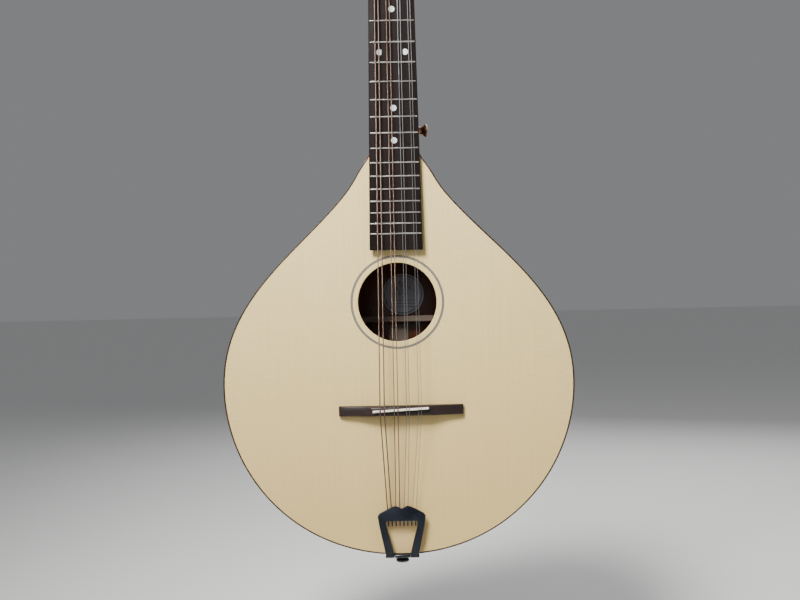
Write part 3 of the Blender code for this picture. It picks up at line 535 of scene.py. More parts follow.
def bone():
    made, tree, shader = start_material("polished_bone")
    spot = coordinates(tree)
    streaks = clouds(tree, stretched(tree, spot, (260.0, 2200.0, 2200.0)), 1.0, 3.0)
    shown = blended(tree, streaks, colour(0.80, 0.76, 0.65), colour(0.90, 0.87, 0.79))
    tree.links.new(shown, shader.inputs["Base Color"])
    shader.inputs["Roughness"].default_value = 0.28
    shader.inputs["Subsurface Weight"].default_value = 0.12
    shader.inputs["Subsurface Scale"].default_value = 0.002
    bump(tree, shader, streaks, 0.05, 0.0001)
    return made


def metal(name, shade, rough, scratch=0.12, tarnish=None, brush=None):
    """Plated or bare metal with smudges, hairline scratches and a little tarnish."""
    made, tree, shader = start_material(name)
    spot = coordinates(tree)
    marks = use(tree, HANDLING, spot, Smudge_Size=60.0, Scratch_Size=1800.0)
    dull = tarnish or tuple(0.72 * c for c in shade[:3]) + (1.0,)
    shown = blended(tree, maths(tree, "MULTIPLY", marks["Smudges"], 0.45), shade, dull)
    tree.links.new(shown, shader.inputs["Base Color"])
    shader.inputs["Metallic"].default_value = 1.0
    shine = maths(tree, "ADD", maths(tree, "MULTIPLY", marks["Smudges"], 0.12), rough)
    tree.links.new(maths(tree, "ADD", shine, maths(tree, "MULTIPLY", marks["Scratches"], scratch)),
                   shader.inputs["Roughness"])
    height = marks["Scratches"]
    if brush:
        height = clouds(tree, stretched(tree, spot, brush), 1.0, 2.0)
    bump(tree, shader, height, 0.08, 0.00005)
    return made


def black_enamel():
    """Gloss black on steel, a little bluish, with dust-fine texture."""
    made, tree, shader = start_material("black_enamel")
    spot = coordinates(tree)
    marks = use(tree, HANDLING, spot, Smudge_Size=45.0, Scratch_Size=1500.0)
    shown = blended(tree, marks["Smudges"], colour(0.003, 0.0045, 0.009), colour(0.006, 0.009, 0.017))
    shown = blended(tree, maths(tree, "MULTIPLY", marks["Scratches"], 0.2), shown, colour(0.07, 0.075, 0.085))
    tree.links.new(shown, shader.inputs["Base Color"])
    shader.inputs["Metallic"].default_value = 0.0
    shine = maths(tree, "ADD", maths(tree, "MULTIPLY", marks["Smudges"], 0.10), 0.26)
    tree.links.new(shine, shader.inputs["Roughness"])
    shader.inputs["Specular IOR Level"].default_value = 0.35
    shader.inputs["Coat Weight"].default_value = 0.15
    shader.inputs["Coat Roughness"].default_value = 0.14
    bump(tree, shader, clouds(tree, spot, 2500.0, 2.0), 0.06, 0.00006)
    return made


def wound_wire(name, shade, shadow, turns):
    """Wire wound round a core: turns is how many windings a metre holds."""
    made, tree, shader = start_material(name)
    spot = coordinates(tree)
    parts = node(tree, "ShaderNodeSeparateXYZ", {0: spot}).outputs
    wave = maths(tree, "SINE", maths(tree, "MULTIPLY", parts[2], turns * 2 * math.pi))
    ridge = spread(tree, wave, -1.0, 1.0)
    aged = clouds(tree, spot, 40.0, 3.0)
    lit = blended(tree, aged, shade, tuple(0.8 * c for c in shade[:3]) + (1.0,))
    shown = blended(tree, maths(tree, "POWER", ridge, 0.6), shadow, lit)
    tree.links.new(shown, shader.inputs["Base Color"])
    shader.inputs["Metallic"].default_value = 1.0
    shader.inputs["Roughness"].default_value = 0.34
    bump(tree, shader, ridge, 0.6, 0.00008)
    return made


def rosette_ring():
    """Grey fibre ring between two dark lines, with fine dots along it."""
    made, tree, shader = start_material("rosette_ring")
    spot = coordinates(tree, shift=(0, 0, -(rosette_low.z + rosette_high.z) / 2))
    parts = node(tree, "ShaderNodeSeparateXYZ", {0: spot}).outputs
    far = maths(tree, "SQRT", maths(tree, "ADD", maths(tree, "MULTIPLY", parts[0], parts[0]),
                                    maths(tree, "MULTIPLY", parts[2], parts[2])))
    middle = maths(tree, "ABSOLUTE", maths(tree, "SUBTRACT", far, 0.04415))
    edge = spread(tree, middle, 0.00062, 0.00078)
    turn = maths(tree, "ARCTAN2", parts[0], parts[2])
    dots = maths(tree, "SINE", maths(tree, "MULTIPLY", turn, 170.0))
    row = spread(tree, middle, 0.00045, 0.0002)
    dotted = maths(tree, "MULTIPLY", spread(tree, dots, 0.2, 0.7), row)
    fibre = clouds(tree, spot, 900.0, 3.0)
    base = blended(tree, fibre, colour(0.10, 0.09, 0.078), colour(0.19, 0.175, 0.155))
    dotted_over = blended(tree, maths(tree, "MULTIPLY", dotted, 0.7), base, colour(0.32, 0.31, 0.29))
    tree.links.new(blended(tree, edge, dotted_over, colour(0.035, 0.033, 0.032)), shader.inputs["Base Color"])
    shader.inputs["Roughness"].default_value = 0.42
    bump(tree, shader, fibre, 0.08, 0.0001)
    return made


def pearl():
    made, tree, shader = start_material("mother_of_pearl")
    spot = coordinates(tree)
    layers = clouds(tree, stretched(tree, spot, (500.0, 500.0, 180.0)), 1.0, 4.0, 0.6, 1.2)
    warm = blended(tree, spread(tree, layers, 0.35, 0.65), colour(0.86, 0.84, 0.80), colour(0.70, 0.76, 0.78))
    pink = spread(tree, clouds(tree, spot, 260.0, 2.0), 0.5, 0.7)
    tree.links.new(blended(tree, maths(tree, "MULTIPLY", pink, 0.4), warm, colour(0.86, 0.74, 0.76)),
                   shader.inputs["Base Color"])
    shader.inputs["Roughness"].default_value = 0.16
    shader.inputs["Coat Weight"].default_value = 0.5
    bump(tree, shader, layers, 0.04, 0.0001)
    return made


def cream_plastic():
    made, tree, shader = start_material("cream_button")
    spot = coordinates(tree)
    swirl = clouds(tree, spot, 110.0, 4.0, 0.6, 1.5)
    shown = blended(tree, spread(tree, swirl, 0.35, 0.7), colour(0.78, 0.71, 0.57), colour(0.88, 0.83, 0.72))
    tree.links.new(shown, shader.inputs["Base Color"])
    shader.inputs["Roughness"].default_value = 0.2
    shader.inputs["Coat Weight"].default_value = 0.3
    shader.inputs["Subsurface Weight"].default_value = 0.15
    shader.inputs["Subsurface Scale"].default_value = 0.003
    return made


LABEL_AT = (5.9, 107.2)
RULE_GAP = 0.0034


def label_paper():
    """Bluish grey paper, darkened as painted shade inside the body, with a plain border, a rose of petals and
    ruled lines, with no lettering.
    """
    made, tree, shader = start_material("label_paper")
    centre = (-LABEL_AT[0] * MM, 0, -(LABEL_AT[1] * MM + scale_end))
    spot = coordinates(tree, shift=centre)
    parts = node(tree, "ShaderNodeSeparateXYZ", {0: spot}).outputs
    far = maths(tree, "SQRT", maths(tree, "ADD", maths(tree, "MULTIPLY", parts[0], parts[0]),
                                    maths(tree, "MULTIPLY", parts[2], parts[2])))
    border = spread(tree, maths(tree, "ABSOLUTE", maths(tree, "SUBTRACT", far, 0.0192)), 0.00045, 0.0003)
    raised = maths(tree, "ADD", parts[2], -0.0065)
    rose_far = maths(tree, "SQRT", maths(tree, "ADD", maths(tree, "MULTIPLY", parts[0], parts[0]),
                                         maths(tree, "MULTIPLY", raised, raised)))
    turn = maths(tree, "ARCTAN2", parts[0], raised)
    petals = maths(tree, "ABSOLUTE", maths(tree, "SINE", maths(tree, "MULTIPLY", turn, 3.0)))
    reach = maths(tree, "ADD", maths(tree, "MULTIPLY", petals, 0.0052), 0.0022)
    rose = spread(tree, maths(tree, "ABSOLUTE", maths(tree, "SUBTRACT", rose_far, reach)), 0.0006, 0.0003)
    waves = maths(tree, "SINE", maths(tree, "MULTIPLY", parts[2], 2 * math.pi / RULE_GAP))
    ruled = spread(tree, waves, 0.86, 0.95)
    low = maths(tree, "MULTIPLY", spread(tree, parts[2], -0.0025, -0.003),
                spread(tree, parts[2], -0.0145, -0.014))
    inside = spread(tree, maths(tree, "ABSOLUTE", parts[0]), 0.0125, 0.0121)
    ruled = maths(tree, "MULTIPLY", ruled, maths(tree, "MULTIPLY", low, inside))
    ink = maths(tree, "MAXIMUM", border, maths(tree, "MAXIMUM", rose, ruled))
    aged = clouds(tree, spot, 120.0, 5.0)
    # The paper's colours are dimmed as painted shade inside the body.
    paper = blended(tree, aged, colour(0.38, 0.38, 0.44), colour(0.48, 0.485, 0.56))
    tree.links.new(blended(tree, maths(tree, "MULTIPLY", ink, 0.9), paper, colour(0.06, 0.055, 0.06)),
                   shader.inputs["Base Color"])
    shader.inputs["Roughness"].default_value = 0.85
    bump(tree, shader, clouds(tree, spot, 3000.0, 2.0), 0.1, 0.00005)
    return made


SPRUCE = spruce_top()
SIDE_WOOD = figured_wood("side_wood", colour(0.085, 0.026, 0.014), colour(0.17, 0.060, 0.030), 420.0,
                         turn=ALONG_X, source="UV", rough=0.26)
BACK_WOOD = figured_wood("back_wood", colour(0.085, 0.026, 0.014), colour(0.17, 0.060, 0.030), 420.0,
                         rough=0.26, seam=True)
NECK_WOOD = figured_wood("neck_wood", colour(0.13, 0.045, 0.022), colour(0.21, 0.085, 0.042), 380.0,
                         rough=0.34)
ROSEWOOD = figured_wood("rosewood", colour(0.008, 0.0055, 0.0055), colour(0.018, 0.012, 0.011), 520.0,
                        rough=0.56, gloss=0.07)
BRIDGE_WOOD = figured_wood("bridge_rosewood", colour(0.015, 0.009, 0.008), colour(0.038, 0.022, 0.019), 520.0,
                           turn=ALONG_X, rough=0.42, gloss=0.35)
BINDING_WOOD = figured_wood("binding_wood", colour(0.018, 0.009, 0.008), colour(0.04, 0.018, 0.014), 500.0,
                            turn=ALONG_X, source="UV", rough=0.3)
# The braces' spruce is painted darker than the tone bars' spruce: painted shade inside the body.
BRACE_WOOD = raw_wood("brace_spruce", colour(0.26, 0.19, 0.145), turn=ALONG_X)
BLOCK_WOOD = raw_wood("block_wood", colour(0.42, 0.26, 0.15))
LINING_WOOD = kerfed_wood()
BONE = bone()
NICKEL = metal("nickel", colour(0.70, 0.68, 0.64), 0.16)
FRET_METAL = metal("fret_metal", colour(0.66, 0.64, 0.60), 0.20, tarnish=colour(0.48, 0.45, 0.40))
PLAIN_STEEL = metal("plain_steel", colour(0.33, 0.33, 0.335), 0.30)
WOUND_BRONZE = wound_wire("wound_bronze", colour(0.33, 0.225, 0.18), colour(0.10, 0.06, 0.05), 2600.0)
WOUND_BRONZE_FINE = wound_wire("wound_bronze_fine", colour(0.33, 0.225, 0.17), colour(0.10, 0.06, 0.05),
                               3600.0)
# Polished metal with a brown tint, for the heel's strap button.
BROWN_POLISHED_METAL = metal("brown_polished_metal", colour(0.40, 0.23, 0.12), 0.12, tarnish=colour(0.15, 0.08, 0.05))
BLACK_CHROME = metal("black_chrome", colour(0.075, 0.075, 0.085), 0.14, tarnish=colour(0.03, 0.03, 0.035))
BRASS = metal("gear_brass", colour(0.62, 0.44, 0.20), 0.26, tarnish=colour(0.40, 0.27, 0.13))
ENAMEL = black_enamel()
ROSETTE = rosette_ring()
PEARL = pearl()
CREAM = cream_plastic()
PAPER = label_paper()


# ---------------------------------------------------------------- body


def arc(start, leave, arrive, end, count):
    """Points of a Bezier arc, leaving out its last one."""
    flat = [Vector((*p, 0)) for p in (start, leave, arrive, end)]
    return [p.xy for p in interpolate_bezier(*flat, count + 1)][:-1]


def half_outline():
    """The soundboard's edge on the treble side, from the tail's centre to the neck."""
    widest, flank, shoulder = (168.0, 21.0), (92.8, 157.1), (26.0, 237.0)
    slope = Vector((-math.cos(math.radians(44.1)), math.sin(math.radians(44.1))))
    flank_in, flank_out = Vector(flank) - slope * 58.5, Vector(flank) + slope * 86.0
    points = arc((0, TAIL_Z), (100, TAIL_Z), (168, -66), widest, 44)
    points += arc(widest, (168, 78), flank_in, flank, 24)
    points += arc(flank, flank_out, (45.3, 211.3), shoulder, 20)
    return points + [Vector(shoulder), Vector((24.0, NECK_Z)), Vector((0, NECK_Z))]


HALF = half_outline()
SHOULDER = len(HALF) - 3
RIM_ROUND = 0.75


def shifted(path, distance):
    """The path moved out by a distance, its corners mitred. Both ends lie on x = 0."""
    result = []
    for i, point in enumerate(path):
        before = path[i - 1] if i else Vector((-path[1].x, path[1].y))
        after = path[i + 1] if i + 1 < len(path) else Vector((-path[-2].x, path[-2].y))
        first, second = (point - before).normalized(), (after - point).normalized()
        normal_in, normal_out = Vector((first.y, -first.x)), Vector((second.y, -second.x))
        middle = (normal_in + normal_out).normalized()
        result.append(point + middle * distance / max(middle.dot(normal_in), 0.5))
    return result


def whole(path):
    return path + [Vector((-p.x, p.y)) for p in path[-2:0:-1]]


def depth(z):
    """How far the back's outer face lies behind the soundboard's face."""
    return DEPTH_TAIL + (DEPTH_NECK - DEPTH_TAIL) * (z - TAIL_Z) / (NECK_Z - TAIL_Z)


def lean_to_back(thing):
    """Moves what was built against y = 0 to follow the tapering back."""
    for vertex in thing.data.vertices:
        vertex.co.y += depth(vertex.co.z)
    return thing


def wrap_round_edge(thing):
    """A UV map that runs along the body's edge and across its side, in metres."""
    mesh = thing.data
    layer = mesh.uv_layers.new(name="edge").data
    for loop in mesh.loops:
        spot = mesh.vertices[loop.vertex_index].co
        turn = math.atan2(spot.x, (20.0 - spot.z))
        layer[loop.index].uv = (turn * 168.0 * MM, spot.y * MM)
    return thing


def make_soundboard():
    """The spruce top, its soundhole's rim rounded over, with the inlaid ring."""
    board = plate("soundboard_top", [tuple(p) for p in whole(HALF)], 0.0, 3.0)
    rim = [(0, 4), (HOLE_R + RIM_ROUND, 4)]
    for k in range(6):
        turn = math.radians(90) * k / 5
        rim.append((HOLE_R + RIM_ROUND * (1 - math.sin(turn)), -RIM_ROUND * (1 - math.cos(turn))))
    cut(board, round_the_hole("hole_tool", rim + [(HOLE_R, -8), (0, -8)]))
    groove = [(45.25, 2), (45.25, -1.4), (43.05, -1.4), (43.05, 2), (45.25, 2)]
    cut(board, round_the_hole("groove_tool", groove))
    smooth(board, 30)
    finished(board, BENCH, SPRUCE, replaces=("soundboard",))
    section = [(45.22, 0.03), (45.22, -1.2), (43.08, -1.2), (43.08, 0.03), (45.22, 0.03)]
    ring = smooth(round_the_hole("rosette_inlay", section))
    finished(ring, BENCH, ROSETTE, replaces=("rosette",))


def round_the_hole(name, section):
    """A section of (radius, height over the top) turned about the soundhole's axis."""
    made = turned(name, section, 128)
    return moved(made, Matrix.Translation((0, 0, HOLE_AT)) @ Matrix.Rotation(math.radians(90), 4, "X"))


def edge_band(name, inner, outer, low, high):
    """A band along the edge, between two distances from the spruce, open at the neck."""
    near, far = shifted(HALF, inner)[:SHOULDER + 1], shifted(HALF, outer)[:SHOULDER + 1]
    mirror = [Vector((-p.x, p.y)) for p in far[:0:-1]]
    mirror_near = [Vector((-p.x, p.y)) for p in near[:0:-1]]
    outline = mirror + far + near[::-1] + mirror_near[::-1]
    return plate(name, [tuple(p) for p in outline], low, high)


def make_binding():
    top = edge_band("top_binding_strip", 0.03, 1.5, 0.0, 4.9)
    soften(top, 0.35, 3, 40)
    smooth(wrap_round_edge(top), 30)
    finished(top, BENCH, BINDING_WOOD, replaces=("top_binding",))
    back = lean_to_back(edge_band("back_binding_strip", 0.04, 1.5, -4.9, 0.0))
    soften(back, 0.5, 3, 40)
    smooth(wrap_round_edge(back), 30)
    finished(back, BENCH, BINDING_WOOD, replaces=("back_binding",))


def make_back():
    back = plate("back_plate_outer", [tuple(p) for p in whole(HALF)], -3.0, 0.0)
    lean_to_back(back)
    soften(back, 0.4, 2, 40)
    smooth(back, 30)
    finished(back, BENCH, BACK_WOOD, replaces=("back_plate",))


def make_ribs():
    """Two bent sides, meeting in a seam at the tail and under the heel."""
    near, far = shifted(HALF, -0.8), shifted(HALF, 1.5)
    for side, label in SIDES.items():
        outline = [(side * max(p.x, 0.06), p.y) for p in far + near[::-1]]
        rib = plate(f"side_{label}", outline, 4.94, 60.0)
        for vertex in rib.data.vertices:
            if vertex.co.y > 30:
                vertex.co.y = depth(vertex.co.z) - 4.94
        tidy_skin(rib)
        cut(rib, bar("pin_tool", (0, 42, -160), (0, 42, -130), 3.4, 24))
        smooth(wrap_round_edge(rib), 30)
        finished(rib, BENCH, SIDE_WOOD, replaces=(f"rib_{label}",))


def make_inside():
    """Blocks, braces, linings and the label inside the body."""
    remade("back_brace_middle", "back_brace_2", BRACE_WOOD, edge=0.8, segments=3)
    # The seam strip's spruce is painted dark: painted shade inside the body.
    strip_wood = raw_wood("seam_strip_spruce", colour(0.23, 0.175, 0.135), turn=ALONG_X)
    remade("back_seam_strip", "seam_strip", strip_wood, edge=0.5)
    finish_of = {
        BRACE_WOOD: ("top_brace_upper", "top_brace_lower", "back_brace_upper", "back_brace_lower"),
        BLOCK_WOOD: ("neck_block", "tail_block"),
        LINING_WOOD: ("top_lining_bass", "top_lining_treble", "back_lining_bass", "back_lining_treble"),
        raw_wood("tone_bar_spruce", colour(0.37, 0.27, 0.19)): ("tone_bar_bass", "tone_bar_treble"),
        PLAIN_STEEL: ("truss_rod",),
    }
    for finish, nodes in finish_of.items():
        for name in nodes:
            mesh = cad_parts[name].data
            mesh.materials.clear()
            mesh.materials.append(finish)
    make_label()


def make_label():
    x, z = LABEL_AT
    clear_selection()
    bpy.ops.mesh.primitive_cylinder_add(
        vertices=96, radius=21.3, depth=0.25, location=(x, -3.2, z), rotation=(math.radians(90), 0, 0)
    )
    label = lean_to_back(added("paper_label"))
    soften(label, 0.08, 1, 40)
    finished(smooth(label), BENCH, PAPER)


# ---------------------------------------------------------------- neck


def fretboard_width(z):
    """Width at a distance z from the scale's end."""
    return 51.2 + (36.7 - 51.2) * (z - 149.4) / (SCALE_LENGTH - 149.4)


def fret_place(number):
    """A fret's distance from the scale's end."""
    return SCALE_LENGTH * 2 ** (-number / 12)


FRETS = 24
FRET_HALF, FRET_HIGH, FRET_INSET = 0.74, 0.88, 1.15  # half a crown's width, its height, and inset
DOT_R = 2.95
CROWN = 0.36  # the fretboard's middle stands this much above its edges


def board_face(x, half):
    """y of the playing surface in the neck frame."""
    return -FRETBOARD_THICK + CROWN * (x / half) ** 2


def make_frets():
    for number in range(1, FRETS + 1):
        z = fret_place(number) - BODY_JOIN
        half = fretboard_width(fret_place(number)) / 2 - FRET_INSET
        xs = [half * k / 4 for k in range(-4, 5)]
        points = [(x, board_face(x, half) - FRET_HIGH + FRET_HALF, z) for x in xs]
        wire = tube(f"fret_{number:02d}", points, FRET_HALF, 5)
        for vertex in wire.data.vertices:
            rise = board_face(vertex.co.x, half) - vertex.co.y
            if abs(abs(vertex.co.x) - half) < 0.01:
                vertex.co.x -= math.copysign(max(0.0, rise) * 0.5, vertex.co.x)
        tang = cube("tang", (-half + 0.3, -FRETBOARD_THICK + 0.2, z - 0.28), (half - 0.3, -2.6, z + 0.28))
        joined(wire, tang)
        smooth(wire, 40)
        finished(wire, NECK, FRET_METAL)


def make_dots():
    """Pearl dots on the fretboard's face, and small ones along its bass edge."""
    spaces = {5: (0,), 7: (0,), 10: (0,), 12: (-12.3, 12.3), 15: (0,), 17: (0,)}
    for space, places in spaces.items():
        at = (fret_place(space) + fret_place(space - 1)) / 2
        half = fretboard_width(at) / 2
        z = at - BODY_JOIN
        for index, x in enumerate(places):
            face = board_face(x, half)
            dot = bar(f"dot_{space:02d}_{index + 1}", (x, face + 0.8, z), (x, face - 0.03, z), DOT_R, 40)
            soften(dot, 0.06, 1, 40)
            finished(smooth(dot), NECK, PEARL)
        marks = (-3.4, 3.4) if space == 12 else (0,)
        for index, shift in enumerate(marks):
            mark = bar(f"side_dot_{space:02d}_{index + 1}", (-half + 0.8, -3.0, z + shift),
                       (-half - 0.04, -3.0, z + shift), 1.0, 20)
            finished(smooth(mark), NECK, PEARL)


def make_neck():
    neck = remade("neck", "neck_and_head", NECK_WOOD, edge=0.0, angle=32)
    veneer_on_head(neck)
    make_heel_cap()
    remade("fretboard", "fretboard_blank", ROSEWOOD, edge=0.5, segments=2, angle=25)
    remade("nut", "bone_nut", BONE, edge=0.3)
    remade("truss_rod_nut", "rod_nut", NICKEL, body="truss_rod_nut", edge=0.25)
    make_rod_cover()


def make_heel_cap():
    """A thin dark cap that hugs the heel's tip beside the back plate."""
    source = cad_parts["neck"]
    cap = bpy.data.objects.new("heel_cap", source.data.copy())
    bpy.context.scene.collection.objects.link(cap)
    tidy_skin(cap, 0.00001)
    box = moved(cube("cap_box", (-30, 66.5, 235), (30, 90, 262)), BENCH)
    modifier = cap.modifiers.new("tip", "BOOLEAN")
    modifier.operation = "INTERSECT"
    modifier.object = box
    apply_modifier(cap, modifier)
    bpy.data.objects.remove(box, do_unlink=True)
    bpy.ops.object.mode_set(mode="EDIT")
    bpy.ops.mesh.select_all(action="SELECT")
    bpy.ops.transform.shrink_fatten(value=0.35 * MM)
    bpy.ops.object.mode_set(mode="OBJECT")
    finished(smooth(cap, 40), None, ROSEWOOD)


def veneer_on_head(neck):
    """Gives the headstock's front face a dark rosewood face."""
    neck.data.materials.append(ROSEWOOD)
    back_to_head = HEAD.inverted()
    for face in neck.data.polygons:
        spot = back_to_head @ face.center
        if abs(spot.y) < 0.8 and spot.z > 0.3:
            face.material_index = 1


def make_rod_cover():
    remade("truss_rod_cover", "rod_cover", ROSEWOOD, edge=0.0)
    for index, (x, z) in enumerate(((-7.4, 6.6), (7.4, 6.6), (0, 33.2))):
        screw(f"cover_screw_{index + 1}", (x, -2.3, z), (0, -1, 0), 1.5, HEAD, NICKEL)


def screw(name, spot, out, radius, place, finish, body=ROOT, turn=0.5):
    """A domed slotted screw head, standing out along a direction."""
    profile = [(0, 0.55 * radius), (0.35 * radius, 0.52 * radius), (0.7 * radius, 0.38 * radius),
               (0.93 * radius, 0.16 * radius), (radius, 0), (radius, -0.5), (0, -0.5)]
    head = turned(name, profile, 24)
    slot_tool = cube("slot_tool", (-radius * 1.2, -0.13 * radius, 0.2 * radius),
                     (radius * 1.2, 0.13 * radius, radius))
    moved(slot_tool, Matrix.Rotation(turn, 4, "Z"))
    cut(head, slot_tool)
    aim = Vector(out).to_track_quat("Z", "Y").to_matrix().to_4x4()
    moved(head, Matrix.Translation(Vector(spot)) @ aim)
    return finished(smooth(head, 40), place, finish, body)


# ---------------------------------------------------------------- strings

# Name: diameter, x at the saddle, x at the nut, finish
STRINGS = {
    "string_g_outer": (1.15, -18.5, -14.4, WOUND_BRONZE),
    "string_g_inner": (1.15, -14.4, -11.4, WOUND_BRONZE),
    "string_d_outer": (0.85, -5.0, -5.0, WOUND_BRONZE_FINE),
    "string_d_inner": (0.85, -1.5, -2.2, WOUND_BRONZE_FINE),
    "string_a_inner": (0.55, 6.8, 5.0, PLAIN_STEEL),
    "string_a_outer": (0.55, 9.4, 7.5, PLAIN_STEEL),
    "string_e_inner": (0.40, 18.4, 13.3, PLAIN_STEEL),
    "string_e_outer": (0.40, 21.0, 15.6, PLAIN_STEEL),
}
HOOK_FIRST, HOOK_PITCH, HOOK_Y, STRING_END = -12.9, 3.73, -3.4, -111.0
HOOK_ROOT, HOOK_TIP = -110.4, -115.2
NUT_ACTION, SADDLE_ACTION = 1.4, 5.2
NUT_BREAK = SCALE_LENGTH + 0.6
POST_FIRST, POST_PITCH, POST_X = 35.0, 23.0, 20.0


def string_height(z):
    """y of the strings' underside in the bench frame."""
    board = -(0.3 + FRETBOARD_THICK) + math.tan(NECK_ANGLE) * (z - BODY_JOIN)
    return board - (SADDLE_ACTION + (NUT_ACTION - SADDLE_ACTION) * z / SCALE_LENGTH)


def saddle_height(x):
    """z of the saddle's crown, which leans from bass to treble."""
    return -4.3 + 1.9 * (x + 18.5) / 39.5


def post_of(index):
    """Side and rank of the post that a string winds on: outer strings take the low posts."""
    return (-1, index) if index < 4 else (1, 7 - index)


def bend(before, corner, after, reach, count=5):
    """Points that round off a corner of a wire."""
    start = corner + (before - corner).normalized() * reach
    end = corner + (after - corner).normalized() * reach
    points = []
    for k in range(count + 1):
        t = k / count
        points.append(start * (1 - t) ** 2 + corner * 2 * t * (1 - t) + end * t * t)
    return points


def make_string(index, name):
    diameter, x_saddle, x_nut, finish = STRINGS[name]
    radius = diameter / 2
    side, rank = post_of(index)
    z = saddle_height(x_saddle)
    hook = Vector((HOOK_FIRST + HOOK_PITCH * index, HOOK_Y, STRING_END))
    saddle = Vector((x_saddle, string_height(z) - radius, z))
    behind = saddle - Vector((0, -0.2, 1.5))
    nut = Vector((x_nut, string_height(NUT_BREAK) - radius, NUT_BREAK))
    touch = Vector((side * (POST_X - 2.3 - radius), -7.5, POST_FIRST + POST_PITCH * rank))
    post = HEAD_TO_BENCH @ touch
    points = [hook] + bend(hook, behind, saddle, 0.7) + bend(behind, saddle, nut, 0.7)
    points += bend(saddle, nut, post, 1.2) + [post]
    wire = tube(f"{name}_wire", points, radius, 4)
    finished(smooth(wire, 60), BENCH, finish, replaces=(name,))
    make_loop(index, name, radius, finish)
    make_coil(index, name, radius, finish)


def make_loop(index, name, radius, finish):
    """The string's loop round its hook, with the twisted end that leads to it."""
    x = HOOK_FIRST + HOOK_PITCH * index
    wire = min(radius, 0.26)
    ring = []
    for k in range(20):
        turn = 2 * math.pi * k / 20
        ring.append((x + 1.15 * math.sin(turn), -7.2 + 1.95 * math.cos(turn),
                     HOOK_ROOT - 1.1 - 0.5 * math.cos(turn)))
    loop = tube(f"{name}_loop", ring, wire, 3, closed=True)
    tail = []
    for k in range(49):
        turn, along = 2 * math.pi * k / 8, k / 48
        tail.append((x + (radius + wire) * math.cos(turn),
                     HOOK_Y + (radius + wire) * math.sin(turn) - along ** 3,
                     STRING_END + 4.5 - 5.2 * along))
    twist = tube("twist", tail, wire, 2)
    joined(loop, twist)
    finished(smooth(loop, 60), BENCH, finish, body="tailpiece")


def make_coil(index, name, radius, finish):
    """The string's turns on its post, and its cut end through the post."""
    side, rank = post_of(index)
    z = POST_FIRST + POST_PITCH * rank
    around = 2.3 + radius
    turns = 3 if radius > 0.3 else 4
    points = []
    for k in range(turns * 16 + 1):
        turn = math.pi / 2 * (1 - side) + math.pi - side * 2 * math.pi * k / 16
        points.append((side * POST_X + around * math.cos(turn), -7.5 + 2.05 * radius * (turns * 0.5 - k / 16),
                       z + around * math.sin(turn)))
    last = Vector(points[-1])
    centre = Vector((side * POST_X, last.y, z))
    inward = (centre - last).normalized()
    points += [tuple(last + inward * 1.5 + Vector((0, 0.2, 0))), tuple(centre + inward * 5.0)]
    coil = tube(f"{name}_coil", points, radius, 3)
    finished(smooth(coil, 60), HEAD, finish,
             body=f"string_post_{SIDES[side]}_{rank + 1}")


# ---------------------------------------------------------------- bridge and tailpiece


def make_bridge():
    remade("bridge", "floating_bridge", BRIDGE_WOOD, edge=0.25, angle=50)
    remade("saddle", "bone_saddle", BONE, edge=0.0, angle=40)


HINGE = Vector((0, -5.2, -144.4))
FRAME_FRONT, FRAME_REAR = -8.6, -6.4
KNUCKLE_R, KNUCKLE_SPLIT, KNUCKLE_END = 1.7, 7.6, 16.1


def hinge_bar(name, low, high, radius, edge):
    """A round bar along the tailpiece's hinge, its ends softened."""
    made = bar(name, HINGE + Vector((low, 0, 0)), HINGE + Vector((high, 0, 0)), radius, 32)
    return soften(made, edge, 2, 40)


def make_tailpiece():
    """Lyre-shaped frame with chamfered edges, a comb of hooks and the hinge's knuckles."""
    top = [(0, -98.4), (2.0, -97.3), (5.4, -95.7), (8.4, -96.3), (12.8, -98.2), (21.4, -102.8)]
    outer = [(23.1, -105.6), (21.7, -114.8), (19.5, -125.5), (16.7, -138.8), (KNUCKLE_END, -142.0)]
    inner = [(7.9, -142.0), (8.2, -140.0), (11.7, -126.3), (14.7, -115.7), (15.1, HOOK_ROOT)]
    right = top + outer + inner
    outline = right + [(-x, z) for x, z in right[:0:-1]]
    lyre = soften(plate("tailpiece_frame", outline, FRAME_FRONT, FRAME_REAR), 0.9, 2, 55)
    pieces = []
    for k in range(8):
        x = HOOK_FIRST + HOOK_PITCH * k
        shape = [(x + 0.85, HOOK_ROOT + 0.6), (x + 0.6, HOOK_TIP),
                 (x - 0.6, HOOK_TIP), (x - 0.85, HOOK_ROOT + 0.6)]
        pieces.append(soften(plate("hook", shape, FRAME_FRONT + 0.1, FRAME_REAR - 0.1), 0.3, 2, 50))
    start = KNUCKLE_SPLIT + 0.3
    for low, high in ((-KNUCKLE_END, -start), (start, KNUCKLE_END)):
        pieces.append(hinge_bar("knuckle", low, high, KNUCKLE_R, 0.25))
        link = cube("link", (low, FRAME_FRONT + 0.5, HINGE.z + 0.4), (high, HINGE.y - 0.4, -141.0))
        pieces.append(soften(link, 0.4, 3, 50))
    joined(lyre, *pieces)
    smooth(lyre, 28)
    finished(lyre, BENCH, ENAMEL, "tailpiece", ("tailpiece",))
    remade("tailpiece_bracket", "end_bracket", ENAMEL, edge=0.3)
    pin = smooth(hinge_bar("hinge_pin", -16.5, 16.5, 0.9, 0.3))
    finished(pin, BENCH, NICKEL, replaces=("tailpiece_hinge_pin",))
    for index, (x, y) in enumerate(((-10.5, 8.0), (10.5, 8.0), (-9.5, 26.0), (9.5, 26.0))):
        screw(f"bracket_screw_{index + 1}", (x, y, BRACKET_FACE), (0, 0, -1), 2.3, BENCH,
              BLACK_CHROME, turn=0.4 + index)


